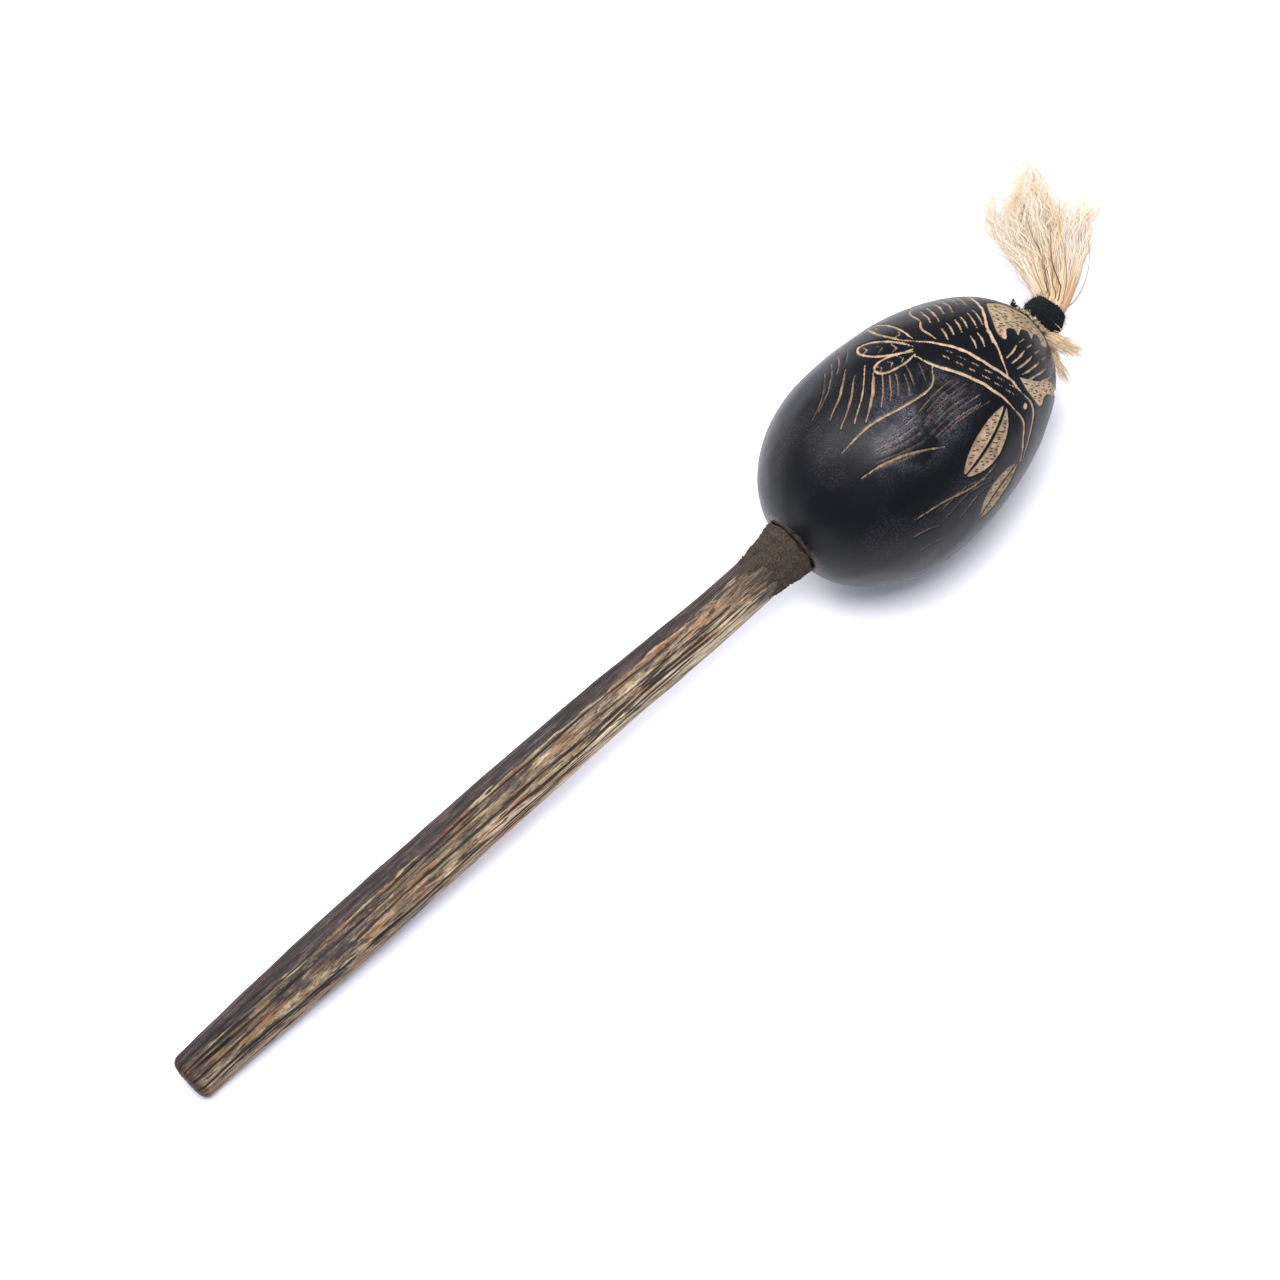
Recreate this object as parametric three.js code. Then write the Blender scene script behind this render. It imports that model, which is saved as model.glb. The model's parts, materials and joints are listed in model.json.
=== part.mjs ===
// An engraved gourd rattle: a hollow calabash head on a palm-wood stick, with hard round seeds loose inside
// it and a tuft of agave fibre, bound with black yarn, in the hole at its tip. Millimetres, +Z up.
//
// The rattle is built straight along its own +X axis, with x = 0 at the gourd's mouth, the stick towards -X
// and the tuft towards +X. It is then laid on the table, on the gourd's belly and the stick's butt.
import * as THREE from "three";

// ---------- Driving dimensions ----------

const GAP = 0.3; // between pieces that touch

const GOURD = {
  belly: 37.6, // greatest radius
  bellyAt: 45, // from the mouth
  stemReach: 46.2, // from the belly to where the stem end would close
  tipReach: 64, // from the belly to where the tip would close
  stemFullness: 2.2, // superellipse exponents: 2 is an ellipse, more is squarer
  tipFullness: 2.05,
  wall: 3,
  tipRoom: 1.4, // around the fibre bundle in the tip hole
  tipRim: 1.6, // width of the trimmed rim around the hole
  sides: 40,
};

const STICK = {
  length: 258, // from the mouth to the butt
  neck: 8, // radius of the round part in the mouth and under the glue
  swell: 9.3, // half width where the grip is widest
  swellAt: 178, // from the mouth
  butt: 7.9, // half width at the butt
  thick: 7.3, // half thickness of the grip
  squareness: 3, // superellipse exponent of the grip's section
  edge: 2.4, // rounding of the butt
  tenon: 30, // length inside the gourd
  tenonEnd: 5.4, // radius of the whittled end
  drift: 5.1, // how far the butt lies to the +Y side of the gourd's axis
  bow: 1.3, // sideways bow between the two ends
  sides: 20,
};

const GLUE = {
  length: 16, // of the collar on the stick
  flare: 2.5, // of the lip at the gourd's mouth, out from the stick
  feather: 0.4, // thickness where it runs out on the stick
  tipRise: 0.6, // height of the ring on the trimmed rim
};

// The bundle of fibres in the tip hole. It is set over to the -Y side by the shift where it comes out.
const BUNDLE = { radius: 3.4, depth: 14, shift: 0.9 };

// The barrel of yarn turns on the bundle. Its base is measured from the middle of the trimmed rim.
const BINDING = {
  out: 1.7,
  side: -1.4, // to the +Y side
  lean: 10, // degrees from the gourd's axis towards +Y
  length: 8.2,
  boreRoom: 0.7, // around the bundle
  yarn: 3, // thickness of the turns near the base
  mouthYarn: 1.4, // and at the outer end
  sides: 24,
};

// The fan of loose fibres beyond the yarn. It flexes about a point just out of the yarn's mouth.
const FAN = {
  rise: 2.2, // of that point above the yarn
  neck: 3, // radius of the ball that stands for the flexing stretch
  lean: 54.3, // degrees from the gourd's axis towards +Y
  sections: [
    // distance from the flexing point, sideways shift, half width, half thickness
    [3.5, 0, 3.5, 3.4],
    [9.2, -0.5, 9.2, 6],
    [17, 1, 12, 7.4],
    [26, 1.7, 16, 8],
    [33, 1.2, 17.4, 7.6],
    [39.5, 4, 12, 5.6],
    [45, 2.6, 6, 3.6],
    [51.5, 2, 2.2, 1.6],
  ],
};

// Small loose ends at the tip. Each runs from one point to the other. A point is its lift off the gourd's
// skin, its distance past the rim on the side (1 for +Y, -1 for -Y), and its height above the axis.
const LOOSE_ENDS = {
  fibre_lock_long: { side: -1, from: [1.5, 1.8, 1], to: [11.5, 12.2, 1.6], width: 3, thick: 1.2 },
  fibre_lock_short: { side: -1, from: [1.8, 3.2, -2.6], to: [5.9, 14.8, -3.4], width: 2.4, thick: 1 },
  yarn_tail: { side: 1, from: [2.1, 0.7, 1.2], to: [2.2, 4.8, 2.4], width: 1.4, thick: 1.2 },
};

// The single straw tied round the yarn. Its place is measured from the base.
const STRAND = { radius: 0.4, along: 1.9 };

const SEEDS = { count: 24, radius: 2.8, variation: 0.2, seatGap: 0.4 };

// ---------- Materials ----------

const material = (color, roughness) => new THREE.MeshStandardMaterial({ color, roughness, metalness: 0 });
const MATERIALS = {
  gourd: material(0x1b1d20, 0.45),
  palmWood: material(0x6e5741, 0.7),
  glue: material(0x453e34, 0.95),
  paleGlue: material(0xb9ab86, 0.8),
  fibre: material(0xe2cba6, 0.8),
  yarn: material(0x14191b, 0.95),
  seed: material(0x1a1411, 0.35),
};

// ---------- Shared helpers ----------

const { lerp, smoothstep, degToRad } = THREE.MathUtils;

function mesh(name, geometry, finish) {
  const made = new THREE.Mesh(geometry, finish);
  made.name = name;
  return made;
}

// A closed profile of [x, radius] pairs turned about the X axis.
function turned(profile, sides) {
  const points = profile.map(([x, radius]) => new THREE.Vector2(radius, x));
  const geometry = new THREE.LatheGeometry(points, sides);
  geometry.rotateY(Math.PI / sides); // a flat of the many sides, not a corner, faces down
  return geometry.rotateZ(-Math.PI / 2);
}

// Radius of a superellipse's section towards the angle, from its two half sizes.
function sectionRadius(angle, halfWidth, halfThick, squareness) {
  const across = Math.abs(Math.cos(angle) / halfWidth) ** squareness;
  const through = Math.abs(Math.sin(angle) / halfThick) ** squareness;
  return (across + through) ** (-1 / squareness);
}

// A closed solid skinned over rings. ring(i) gives { x, y, z, halfWidth, halfThick, squareness } of ring i:
// its centre, and its size along Y and Z.
function lofted(ringCount, sides, ring) {
  const geometry = new THREE.CylinderGeometry(1, 1, ringCount - 1, sides, ringCount - 1);
  const at = geometry.getAttribute("position");
  for (let i = 0; i < at.count; i++) {
    const r = ring(Math.round(at.getY(i) + (ringCount - 1) / 2));
    const angle = Math.atan2(at.getZ(i), -at.getX(i));
    const reach = Math.hypot(at.getX(i), at.getZ(i)) > 0.5 ? 1 : 0; // 0 at the middle of an end cap
    const radius = reach * sectionRadius(angle, r.halfWidth, r.halfThick, r.squareness);
    at.setXYZ(i, r.x, r.y + radius * Math.cos(angle), r.z + radius * Math.sin(angle));
  }
  return geometry;
}

// ---------- Gourd ----------

const glueLip = STICK.neck + GLUE.flare; // radius of the collar against the mouth
const gourdMouth = glueLip - GAP; // radius of the outside where the mouth is trimmed
const tipHole = BUNDLE.radius + GOURD.tipRoom;
const tipFlat = tipHole + GOURD.tipRim; // radius of the trimmed rim

// Points [x, radius] on the gourd's skin, inset by a wall, from the stem end to the tip end.
function eggPoints(inset, steps) {
  const points = [];
  for (let i = 1; i < steps; i++) {
    const turn = (Math.PI * i) / steps;
    const stemSide = turn < Math.PI / 2;
    const reach = (stemSide ? GOURD.stemReach : GOURD.tipReach) - inset;
    const power = 2 / (stemSide ? GOURD.stemFullness : GOURD.tipFullness);
    const along = Math.abs(Math.cos(turn)) ** power * (stemSide ? -reach : reach);
    points.push([GOURD.bellyAt + along, (GOURD.belly - inset) * Math.sin(turn) ** power]);
  }
  return points;
}

// Where the skin has this radius, on the tip's side or the stem's.
function eggStation(radius, inset, towardsTip) {
  const fullness = towardsTip ? GOURD.tipFullness : GOURD.stemFullness;
  const reach = (towardsTip ? GOURD.tipReach : GOURD.stemReach) - inset;
  const share = (1 - (radius / (GOURD.belly - inset)) ** fullness) ** (1 / fullness);
  return GOURD.bellyAt + (towardsTip ? reach : -reach) * share;
}

const rimAt = eggStation(tipFlat, 0, true); // the trimmed rim at the tip
const mouthHole = STICK.neck + GAP;
const mouthAt = eggStation(gourdMouth, 0, false);

function gourdShell() {
  const between = (points, low, high) => points.filter(([x]) => x > low + 0.8 && x < high - 0.8);
  const innerMouth = eggStation(mouthHole, GOURD.wall, false);
  const innerTip = eggStation(tipHole, GOURD.wall, true);
  const outside = between(eggPoints(0, 24), mouthAt, rimAt);
  const inside = between(eggPoints(GOURD.wall, 18), innerMouth, innerTip).reverse();
  const profile = [
    [mouthAt, mouthHole],
    [mouthAt, gourdMouth],
    ...outside,
    [rimAt, tipFlat],
    [rimAt, tipHole],
    [innerTip, tipHole],
    ...inside,
    [innerMouth, mouthHole],
    [mouthAt, mouthHole],
  ];
  return mesh("gourd_shell", turned(profile, GOURD.sides), MATERIALS.gourd);
}

// ---------- Palm-wood stick ----------

// Sideways place of the stick's middle line.
function stickDrift(x) {
  const share = Math.max(0, (-x - GLUE.length) / (STICK.length - GLUE.length));
  return STICK.drift * share + STICK.bow * 4 * share * (1 - share) * Math.min(1, share * 4);
}

function stickRing(x, trim) {
  const grip = smoothstep(-x, GLUE.length, GLUE.length + 45); // 0 is the round neck, 1 is the squared grip
  const toSwell = smoothstep(-x, GLUE.length, STICK.swellAt);
  const toButt = smoothstep(-x, STICK.swellAt, STICK.length);
  const halfWidth = lerp(lerp(STICK.neck, STICK.swell, toSwell), STICK.butt, toButt);
  return {
    x,
    y: stickDrift(x),
    z: 0,
    halfWidth: halfWidth - trim,
    halfThick: lerp(STICK.neck, STICK.thick, grip) - trim,
    squareness: lerp(2, STICK.squareness, grip),
  };
}

function stick() {
  const rings = [];
  const roundSteps = 3; // around the butt's edge
  for (let i = 0; i <= roundSteps; i++) {
    const turn = (Math.PI / 2) * (i / roundSteps);
    const x = -STICK.length + STICK.edge * (1 - Math.sin(turn));
    rings.push(stickRing(x, STICK.edge * (1 - Math.cos(turn))));
  }
  rings.reverse(); // the butt's flat first, then round its edge
  const bodySteps = 16;
  for (let i = 1; i <= bodySteps; i++) {
    rings.push(stickRing(lerp(-STICK.length + STICK.edge, -GLUE.length - 1, i / bodySteps), 0));
  }
  rings.push(stickRing(0, 0), stickRing(GOURD.wall + 1, 0));
  rings.push(stickRing(STICK.tenon, STICK.neck - STICK.tenonEnd));
  return mesh("palm_wood_handle", lofted(rings.length, STICK.sides, (i) => rings[i]), MATERIALS.palmWood);
}

// ---------- Glue ----------

// The collar of resin and sawdust that flares from the stick to the gourd's mouth.
function glueCollar() {
  const bore = STICK.neck + GAP;
  const thin = bore + GLUE.feather;
  const face = mouthAt - GAP;
  const start = -GLUE.length;
  const flare = new THREE.QuadraticBezierCurve(
    new THREE.Vector2(start * 0.75, thin),
    new THREE.Vector2(start * 0.22, thin + 0.1),
    new THREE.Vector2(face, glueLip),
  );
  const outside = flare.getPoints(6).map((p) => [p.x, p.y]);
  const profile = [[start, bore], [start, bore + GLUE.feather / 2], ...outside, [face, bore], [start, bore]];
  return mesh("handle_glue_collar", turned(profile, 32), MATERIALS.glue);
}

// The low ring of pale glue on the trimmed rim, around the fibre bundle.
function tipGlue() {
  const low = rimAt + GAP;
  const high = low + GLUE.tipRise;
  const inner = tipHole;
  const outer = tipFlat;
  const profile = [
    [low, inner],
    [low, outer],
    [(low + high) / 2, outer - 0.1],
    [high, outer - 0.5],
    [high, inner],
    [low, inner],
  ];
  return mesh("tip_glue_ring", turned(profile, 28), MATERIALS.paleGlue);
}

// ---------- Fibre and yarn ----------

// A place on the binding's axis, as a distance out from its base.
function onBinding(out) {
  const lean = degToRad(BINDING.lean);
  const x = rimAt + BINDING.out + out * Math.cos(lean);
  return new THREE.Vector3(x, BINDING.side + out * Math.sin(lean), 0);
}

const flexPoint = onBinding(BINDING.length + FAN.rise);
const yarnBore = BUNDLE.radius + BINDING.boreRoom;

// The bundle of fibres from inside the gourd, out through the tip hole and along the yarn's bore.
function fibreRoot() {
  const outEnd = BINDING.length + FAN.rise - FAN.neck - 2 * GAP;
  const middles = [
    new THREE.Vector3(rimAt - BUNDLE.depth, 0, 0),
    new THREE.Vector3(rimAt - 4, 0, 0),
    new THREE.Vector3(rimAt, -BUNDLE.shift / 2, 0),
    new THREE.Vector3(rimAt + GAP + GLUE.tipRise, -BUNDLE.shift, 0),
    onBinding(0),
    onBinding(outEnd),
  ];
  const ring = (i) => ({
    ...middles[i],
    halfWidth: BUNDLE.radius * (i === 0 ? 0.8 : 1),
    halfThick: BUNDLE.radius * (i === 0 ? 0.8 : 1),
    squareness: 2,
  });
  return mesh("fibre_root", lofted(middles.length, 24, ring), MATERIALS.fibre);
}

// Lays something made along +X from its own origin onto the binding's axis.
function placedOnBinding(made) {
  made.position.copy(onBinding(0));
  made.rotation.z = degToRad(BINDING.lean);
  return made;
}

function yarnBinding() {
  const { length, sides } = BINDING;
  const mouth = yarnBore + BINDING.mouthYarn;
  const widest = yarnBore + BINDING.yarn;
  const profile = [
    [0, yarnBore],
    [0, widest * 0.76],
    [length * 0.1, widest * 0.93],
    [length * 0.27, widest],
    [length * 0.5, widest * 0.985],
    [length * 0.74, lerp(widest, mouth, 0.5)],
    [length * 0.92, mouth],
    [length, mouth - 0.8],
    [length, yarnBore],
    [0, yarnBore],
  ];
  return placedOnBinding(mesh("yarn_binding", turned(profile, sides), MATERIALS.yarn));
}

function tieStrand() {
  const around = yarnBore + BINDING.yarn + GAP + STRAND.radius;
  const geometry = new THREE.TorusGeometry(around, STRAND.radius, 8, 40);
  geometry.rotateY(Math.PI / 2).translate(STRAND.along, 0, 0);
  return placedOnBinding(mesh("tie_strand", geometry, MATERIALS.fibre));
}

// The fan, drawn along its own +X axis from the flexing point.
function fibreTuft() {
  const smooth = (points) => new THREE.CatmullRomCurve3(points);
  const middles = smooth(FAN.sections.map(([out, shift]) => new THREE.Vector3(out, shift, 0)));
  const halves = smooth(FAN.sections.map(([, , wide, thick]) => new THREE.Vector3(wide, thick, 0)));
  const steps = 14;
  const ring = (i) => {
    const middle = middles.getPoint(i / steps);
    const half = halves.getPoint(i / steps);
    return { x: middle.x, y: middle.y, z: 0, halfWidth: half.x, halfThick: half.y, squareness: 2 };
  };
  return mesh("fibre_tuft", lofted(steps + 1, 22, ring), MATERIALS.fibre);
}

function looseEnd([name, { side, from, to, width, thick }]) {
  const place = ([lift, past, height]) => {
    const y = side * (tipFlat + past);
    return new THREE.Vector3(eggStation(Math.hypot(y, height), 0, true) + lift, y, height);
  };
  const start = place(from);
  const run = place(to).sub(start);
  const steps = 5;
  const bulge = (share) => 0.45 + 0.55 * Math.sin(Math.PI * (0.12 + 0.73 * share));
  const ring = (i) => ({
    x: run.length() * (i / steps),
    y: 0,
    z: 0,
    halfWidth: (width / 2) * bulge(i / steps),
    halfThick: (thick / 2) * bulge(i / steps),
    squareness: 2,
  });
  const finish = name.startsWith("yarn") ? MATERIALS.yarn : MATERIALS.fibre;
  const made = mesh(name, lofted(steps + 1, 10, ring), finish);
  made.position.copy(start);
  made.rotation.set(0, -Math.asin(run.z / run.length()), Math.atan2(run.y, run.x), "ZYX");
  return made;
}

// ---------- Resting place on the table ----------

// Height of the lowest point of an outline of [x, radius] pairs when the axis rises towards +X by the tilt.
const lowest = (outline, tilt) =>
  Math.min(...outline.map(([x, radius]) => x * Math.sin(tilt) - radius * Math.cos(tilt)));

// The tilt at which the gourd's belly and the stick's butt are equally low, found by halving.
function restingTilt() {
  const gourd = eggPoints(0, 400).map(([x, radius]) => [x, radius * Math.cos(Math.PI / GOURD.sides)]);
  const butt = [[-STICK.length + STICK.edge, STICK.thick]];
  let low = 0;
  let high = degToRad(20);
  for (let i = 0; i < 40; i++) {
    const middle = (low + high) / 2;
    if (lowest(gourd, middle) < lowest(butt, middle)) low = middle;
    else high = middle;
  }
  return { tilt: low, height: -lowest(gourd, low) };
}

const { tilt: restTilt, height: axisHeight } = restingTilt();

// ---------- Seeds ----------

// Room around a point in the chamber, measured to the inner wall in the half plane through the gourd's axis.
const innerWall = eggPoints(GOURD.wall, 300);
function roomAt(x, y, z) {
  const rise = z - axisHeight;
  const along = x * Math.cos(restTilt) + rise * Math.sin(restTilt);
  const up = rise * Math.cos(restTilt) - x * Math.sin(restTilt);
  const out = Math.hypot(y, up);
  return Math.min(...innerWall.map(([wx, wr]) => Math.hypot(wx - along, wr - out)));
}

// How far a seed can go up or down its column from the axis before it meets the wall.
function seatHeight(x, y, radius, direction) {
  let near = axisHeight + x * Math.sin(restTilt);
  let far = near + direction * GOURD.belly;
  for (let i = 0; i < 30; i++) {
    const middle = (near + far) / 2;
    const inside = Math.abs(middle - axisHeight) < GOURD.belly - GOURD.wall;
    if (inside && roomAt(x, y, middle) > radius + SEEDS.seatGap) near = middle;
    else far = middle;
  }
  return near;
}

// Loose seeds lying side by side in the trough of the belly, in a spiral patch. Each keeps a column of its
// own, and userData.travel is how far it can hop up that column to the far wall.
function seeds() {
  const group = new THREE.Group();
  const golden = Math.PI * (3 - Math.sqrt(5));
  const biggest = SEEDS.radius + SEEDS.variation;
  const spacing = (biggest + GAP) * 1.2; // of the spiral, which keeps the seeds apart
  const patch = spacing * Math.sqrt(SEEDS.count) + biggest;
  const patchAt = Math.max(GOURD.bellyAt, STICK.tenon + patch + 1.5); // clear of the stick's tenon
  for (let i = 0; i < SEEDS.count; i++) {
    const radius = SEEDS.radius + SEEDS.variation * Math.cos(2.4 * i);
    const reach = spacing * Math.sqrt(i + 0.3);
    const x = patchAt + reach * Math.cos(golden * i);
    const y = reach * Math.sin(golden * i);
    const name = `seed_${String(i + 1).padStart(2, "0")}`;
    const seed = mesh(name, new THREE.SphereGeometry(radius, 10, 6), MATERIALS.seed);
    const floor = seatHeight(x, y, radius, -1);
    seed.position.set(x, y, floor);
    seed.userData.travel = seatHeight(x, y, radius, 1) - floor;
    group.add(seed);
  }
  return group;
}

// ---------- Assembly ----------

const fan = new THREE.Group();
fan.position.copy(flexPoint);
fan.rotation.z = degToRad(FAN.lean);
fan.add(mesh("tuft_neck", new THREE.SphereGeometry(FAN.neck, 16, 10), MATERIALS.fibre), fibreTuft());

const rattle = new THREE.Group();
rattle.add(gourdShell(), stick(), glueCollar(), tipGlue(), fibreRoot(), yarnBinding(), tieStrand(), fan);
rattle.add(...Object.entries(LOOSE_ENDS).map(looseEnd));
rattle.rotation.y = -restTilt;
rattle.position.z = axisHeight;

const part = new THREE.Group();
part.add(rattle, seeds());

// The origin is under the middle of the whole, on the table.
const extent = new THREE.Box3().setFromObject(part, true);
part.position.set(-(extent.min.x + extent.max.x) / 2, -(extent.min.y + extent.max.y) / 2, -extent.min.z);

export default part;
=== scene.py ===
"""An engraved gourd rattle on a palm-wood handle, with a bound tuft of agave fibre at its tip.

Lengths are in millimetres and points are in the rattle's own frame: x along the gourd's axis from its mouth
towards its tip, y to the side the tuft leans to, z square to both. placed() turns them into metres in the row
frame. Every shape is numpy arrays first and becomes a mesh in add_piece().
"""

import json
import math

import bmesh
import bpy
import numpy as np
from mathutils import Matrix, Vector


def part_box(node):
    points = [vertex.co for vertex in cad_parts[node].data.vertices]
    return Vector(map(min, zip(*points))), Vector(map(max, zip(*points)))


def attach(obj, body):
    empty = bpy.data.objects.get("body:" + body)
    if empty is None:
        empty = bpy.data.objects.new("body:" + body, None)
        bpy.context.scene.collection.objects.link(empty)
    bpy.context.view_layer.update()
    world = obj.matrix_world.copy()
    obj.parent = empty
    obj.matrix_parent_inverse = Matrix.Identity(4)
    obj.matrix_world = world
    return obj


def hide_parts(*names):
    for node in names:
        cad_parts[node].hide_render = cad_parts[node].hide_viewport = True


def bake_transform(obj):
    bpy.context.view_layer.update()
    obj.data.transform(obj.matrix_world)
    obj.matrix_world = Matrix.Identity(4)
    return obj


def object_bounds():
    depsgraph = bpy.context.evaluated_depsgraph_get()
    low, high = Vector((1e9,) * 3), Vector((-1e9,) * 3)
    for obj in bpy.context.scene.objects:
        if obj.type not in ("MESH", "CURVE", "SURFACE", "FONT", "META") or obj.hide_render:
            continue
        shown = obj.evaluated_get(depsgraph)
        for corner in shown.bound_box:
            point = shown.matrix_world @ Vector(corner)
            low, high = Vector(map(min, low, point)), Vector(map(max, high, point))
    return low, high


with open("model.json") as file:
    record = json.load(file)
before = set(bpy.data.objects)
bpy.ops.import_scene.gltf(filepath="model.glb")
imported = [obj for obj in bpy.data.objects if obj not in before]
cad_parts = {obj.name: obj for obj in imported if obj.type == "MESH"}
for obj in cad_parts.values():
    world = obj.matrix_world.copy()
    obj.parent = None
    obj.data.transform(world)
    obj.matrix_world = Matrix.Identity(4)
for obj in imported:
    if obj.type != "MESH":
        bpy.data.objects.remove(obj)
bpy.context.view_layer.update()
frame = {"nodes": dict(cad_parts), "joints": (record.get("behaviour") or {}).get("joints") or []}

# ---------- Sizes shared with the CAD solids ----------

BELLY, BELLY_AT = 37.6, 45.0
STEM_REACH, TIP_REACH = 46.2, 64.0
STEM_FULLNESS, TIP_FULLNESS = 2.2, 2.05
WALL = 3.0
MOUTH_RADIUS, MOUTH_HOLE = 10.2, 8.3
RIM_RADIUS, RIM_HOLE = 6.4, 4.8
STICK_LENGTH, STICK_NECK, STICK_BUTT = 258.0, 8.0, 7.9
STICK_SWELL, STICK_SWELL_AT, STICK_THICK = 9.3, 178.0, 7.3
STICK_DRIFT, STICK_BOW = 5.1, 1.3
COLLAR_LENGTH, COLLAR_LIP = 16.0, 10.5
BINDING_OUT, BINDING_SIDE, BINDING_LEAN, BINDING_LENGTH = 1.7, -1.4, 10.0, 8.2
FLEX_RISE, FAN_LEAN = 2.2, 54.3

# ---------- The rattle's own frame, from the tuft's joint ----------

sway = next(j for j in frame["joints"] if j["name"] == "tuft_sway")
RISE = np.array(sway["axis"], float)
ALONG = np.array([RISE[2], 0.0, -RISE[0]])
BASIS = np.array([ALONG, [0.0, 1.0, 0.0], RISE])
TILT = math.asin(ALONG[2])


def egg_x(radius):
    """Where the gourd's skin has this radius, on the tip's side."""
    share = (1 - (radius / BELLY) ** TIP_FULLNESS) ** (1 / TIP_FULLNESS)
    return BELLY_AT + TIP_REACH * share


RIM_AT = egg_x(RIM_RADIUS)


def turned_axes(degrees):
    """The x, y and z axes turned this far about z, as rows."""
    angle = math.radians(degrees)
    along, over = math.cos(angle), math.sin(angle)
    return np.array([[along, over, 0], [-over, along, 0], [0, 0, 1]])


BINDING_AXES = turned_axes(BINDING_LEAN)
FAN_AXES = turned_axes(FAN_LEAN)


def on_binding(out):
    """The point on the yarn binding's axis this far out from its base."""
    return np.array([RIM_AT + BINDING_OUT, BINDING_SIDE, 0.0]) + out * BINDING_AXES[0]


FLEX = on_binding(BINDING_LENGTH + FLEX_RISE)
ORIGIN = np.array(sway["pos_m"], float) - FLEX @ BASIS * 1e-3


def placed(points):
    """Rattle-frame points in millimetres, as row-frame points in metres."""
    return ORIGIN + 1e-3 * (np.asarray(points, float) @ BASIS)


# ---------- Small number helpers ----------


def lerp(a, b, share):
    return a + (b - a) * share


def between(one, two, share):
    return lerp(np.array(one), np.array(two), share)


def smoothstep(value, low, high):
    share = np.clip((value - low) / (high - low), 0.0, 1.0)
    return share * share * (3 - 2 * share)


def unit(vectors):
    return vectors / np.maximum(np.linalg.norm(vectors, axis=-1, keepdims=True), 1e-9)


def quarter_turn(run):
    return np.array([-run[1], run[0]])


def wrapped(degrees, middle=0.0):
    """Degrees, within half a turn of middle."""
    return (degrees - middle + 180) % 360 - 180 + middle


def ripple(points, seed, size, waves=20):
    """Smooth noise from about -1 to 1 at points, whose lumps are about this size apart."""
    rng = np.random.default_rng(seed)
    points = np.asarray(points, float)
    total = np.zeros(points.shape[:-1])
    for _ in range(waves):
        heading = unit(rng.normal(size=points.shape[-1]))
        pitch = 2 * math.pi / (size * rng.uniform(0.75, 1.5))
        total += np.sin(points @ heading * pitch + rng.uniform(0, 2 * math.pi))
    return total / math.sqrt(waves)


def through(points, steps):
    """A smooth path through control points, as steps + 1 points evenly along it."""
    points = np.asarray(points, float)
    padded = np.vstack([2 * points[0] - points[1], points, 2 * points[-1] - points[-2]])
    fine = []
    for i in range(len(points) - 1):
        a, b, c, d = padded[i : i + 4]
        for t in np.linspace(0, 1, 12, endpoint=False):
            fine.append(0.5 * (2 * b + (c - a) * t + (2 * a - 5 * b + 4 * c - d) * t**2
                               + (3 * b - a - 3 * c + d) * t**3))
    fine = np.array(fine + [points[-1]])
    gone = np.concatenate([[0], np.cumsum(np.linalg.norm(np.diff(fine, axis=0), axis=1))])
    marks = np.linspace(0, gone[-1], steps + 1)
    return np.stack([np.interp(marks, gone, fine[:, k]) for k in range(fine.shape[1])], 1)


# ---------- Meshes ----------


def ring_angles(columns):
    return 2 * math.pi * np.arange(columns) / columns


def round_axis(x, radius, turn):
    """Points at x, this far from the x axis and turned this many radians round it."""
    x, radius, turn = np.broadcast_arrays(x, radius, turn)
    return np.stack([x, radius * np.cos(turn), radius * np.sin(turn)], -1)


def grid_faces(rows, columns, start=0):
    """Quads over a grid of rows by columns of points whose columns close into a ring."""
    row, column = np.meshgrid(np.arange(rows - 1), np.arange(columns), indexing="ij")
    low, high, after = row * columns, (row + 1) * columns, (column + 1) % columns
    return start + np.stack([low + column, low + after, high + after, high + column], -1).reshape(-1, 4)


def closed_rings(rings):
    """Points and quads of a stack of rings whose last ring joins its first."""
    count, columns = rings.shape[:2]
    return rings.reshape(-1, 3), grid_faces(count + 1, columns) % (count * columns)


def cap_faces(ring_start, columns, middle, outwards):
    """Triangles from a ring to a middle point."""
    here = ring_start + np.arange(columns)
    after = ring_start + (np.arange(columns) + 1) % columns
    centre = np.full(columns, middle)
    return np.stack([here, after, centre] if outwards else [after, here, centre], -1)


def tubes(paths, radii, sides=3):
    """Points and faces of closed tubes along many paths. paths is (tube, step, 3) and radii (tube, step)."""
    paths = np.asarray(paths, float)
    count, steps = paths.shape[:2]
    ahead = unit(np.gradient(paths, axis=1))
    guide = np.eye(3)[np.argmin(np.abs(ahead.mean(1)), axis=1)][:, None]
    side = unit(np.cross(ahead, guide))
    over = np.cross(ahead, side)
    turn = 2 * math.pi * np.arange(sides) / sides
    spokes = np.cos(turn)[:, None] * side[:, :, None] + np.sin(turn)[:, None] * over[:, :, None]
    points = (paths[:, :, None] + np.asarray(radii)[:, :, None, None] * spokes).reshape(-1, 3)
    walls = grid_faces(steps, sides)
    firsts = np.arange(count) * steps * sides
    quads = (firsts[:, None, None] + walls).reshape(-1, 4)
    ring = np.arange(sides)
    ends = np.vstack([firsts[:, None] + ring[::-1], firsts[:, None] + (steps - 1) * sides + ring])
    return points, [quads, ends]


def join(parts):
    """One set of points and faces from several."""
    points, faces, count = [], [], 0
    for part_points, part_faces in parts:
        points.append(part_points)
        faces.extend(group + count for group in part_faces)
        count += len(part_points)
    return np.vstack(points), faces


def icosphere(subdivisions):
    """Points and triangles of a ball of radius 1."""
    ball = bmesh.new()
    bmesh.ops.create_icosphere(ball, subdivisions=subdivisions, radius=1)
    ball.verts.index_update()
    points = np.array([v.co[:] for v in ball.verts])
    faces = np.array([[v.index for v in f.verts] for f in ball.faces])
    ball.free()
    return points, faces


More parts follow.
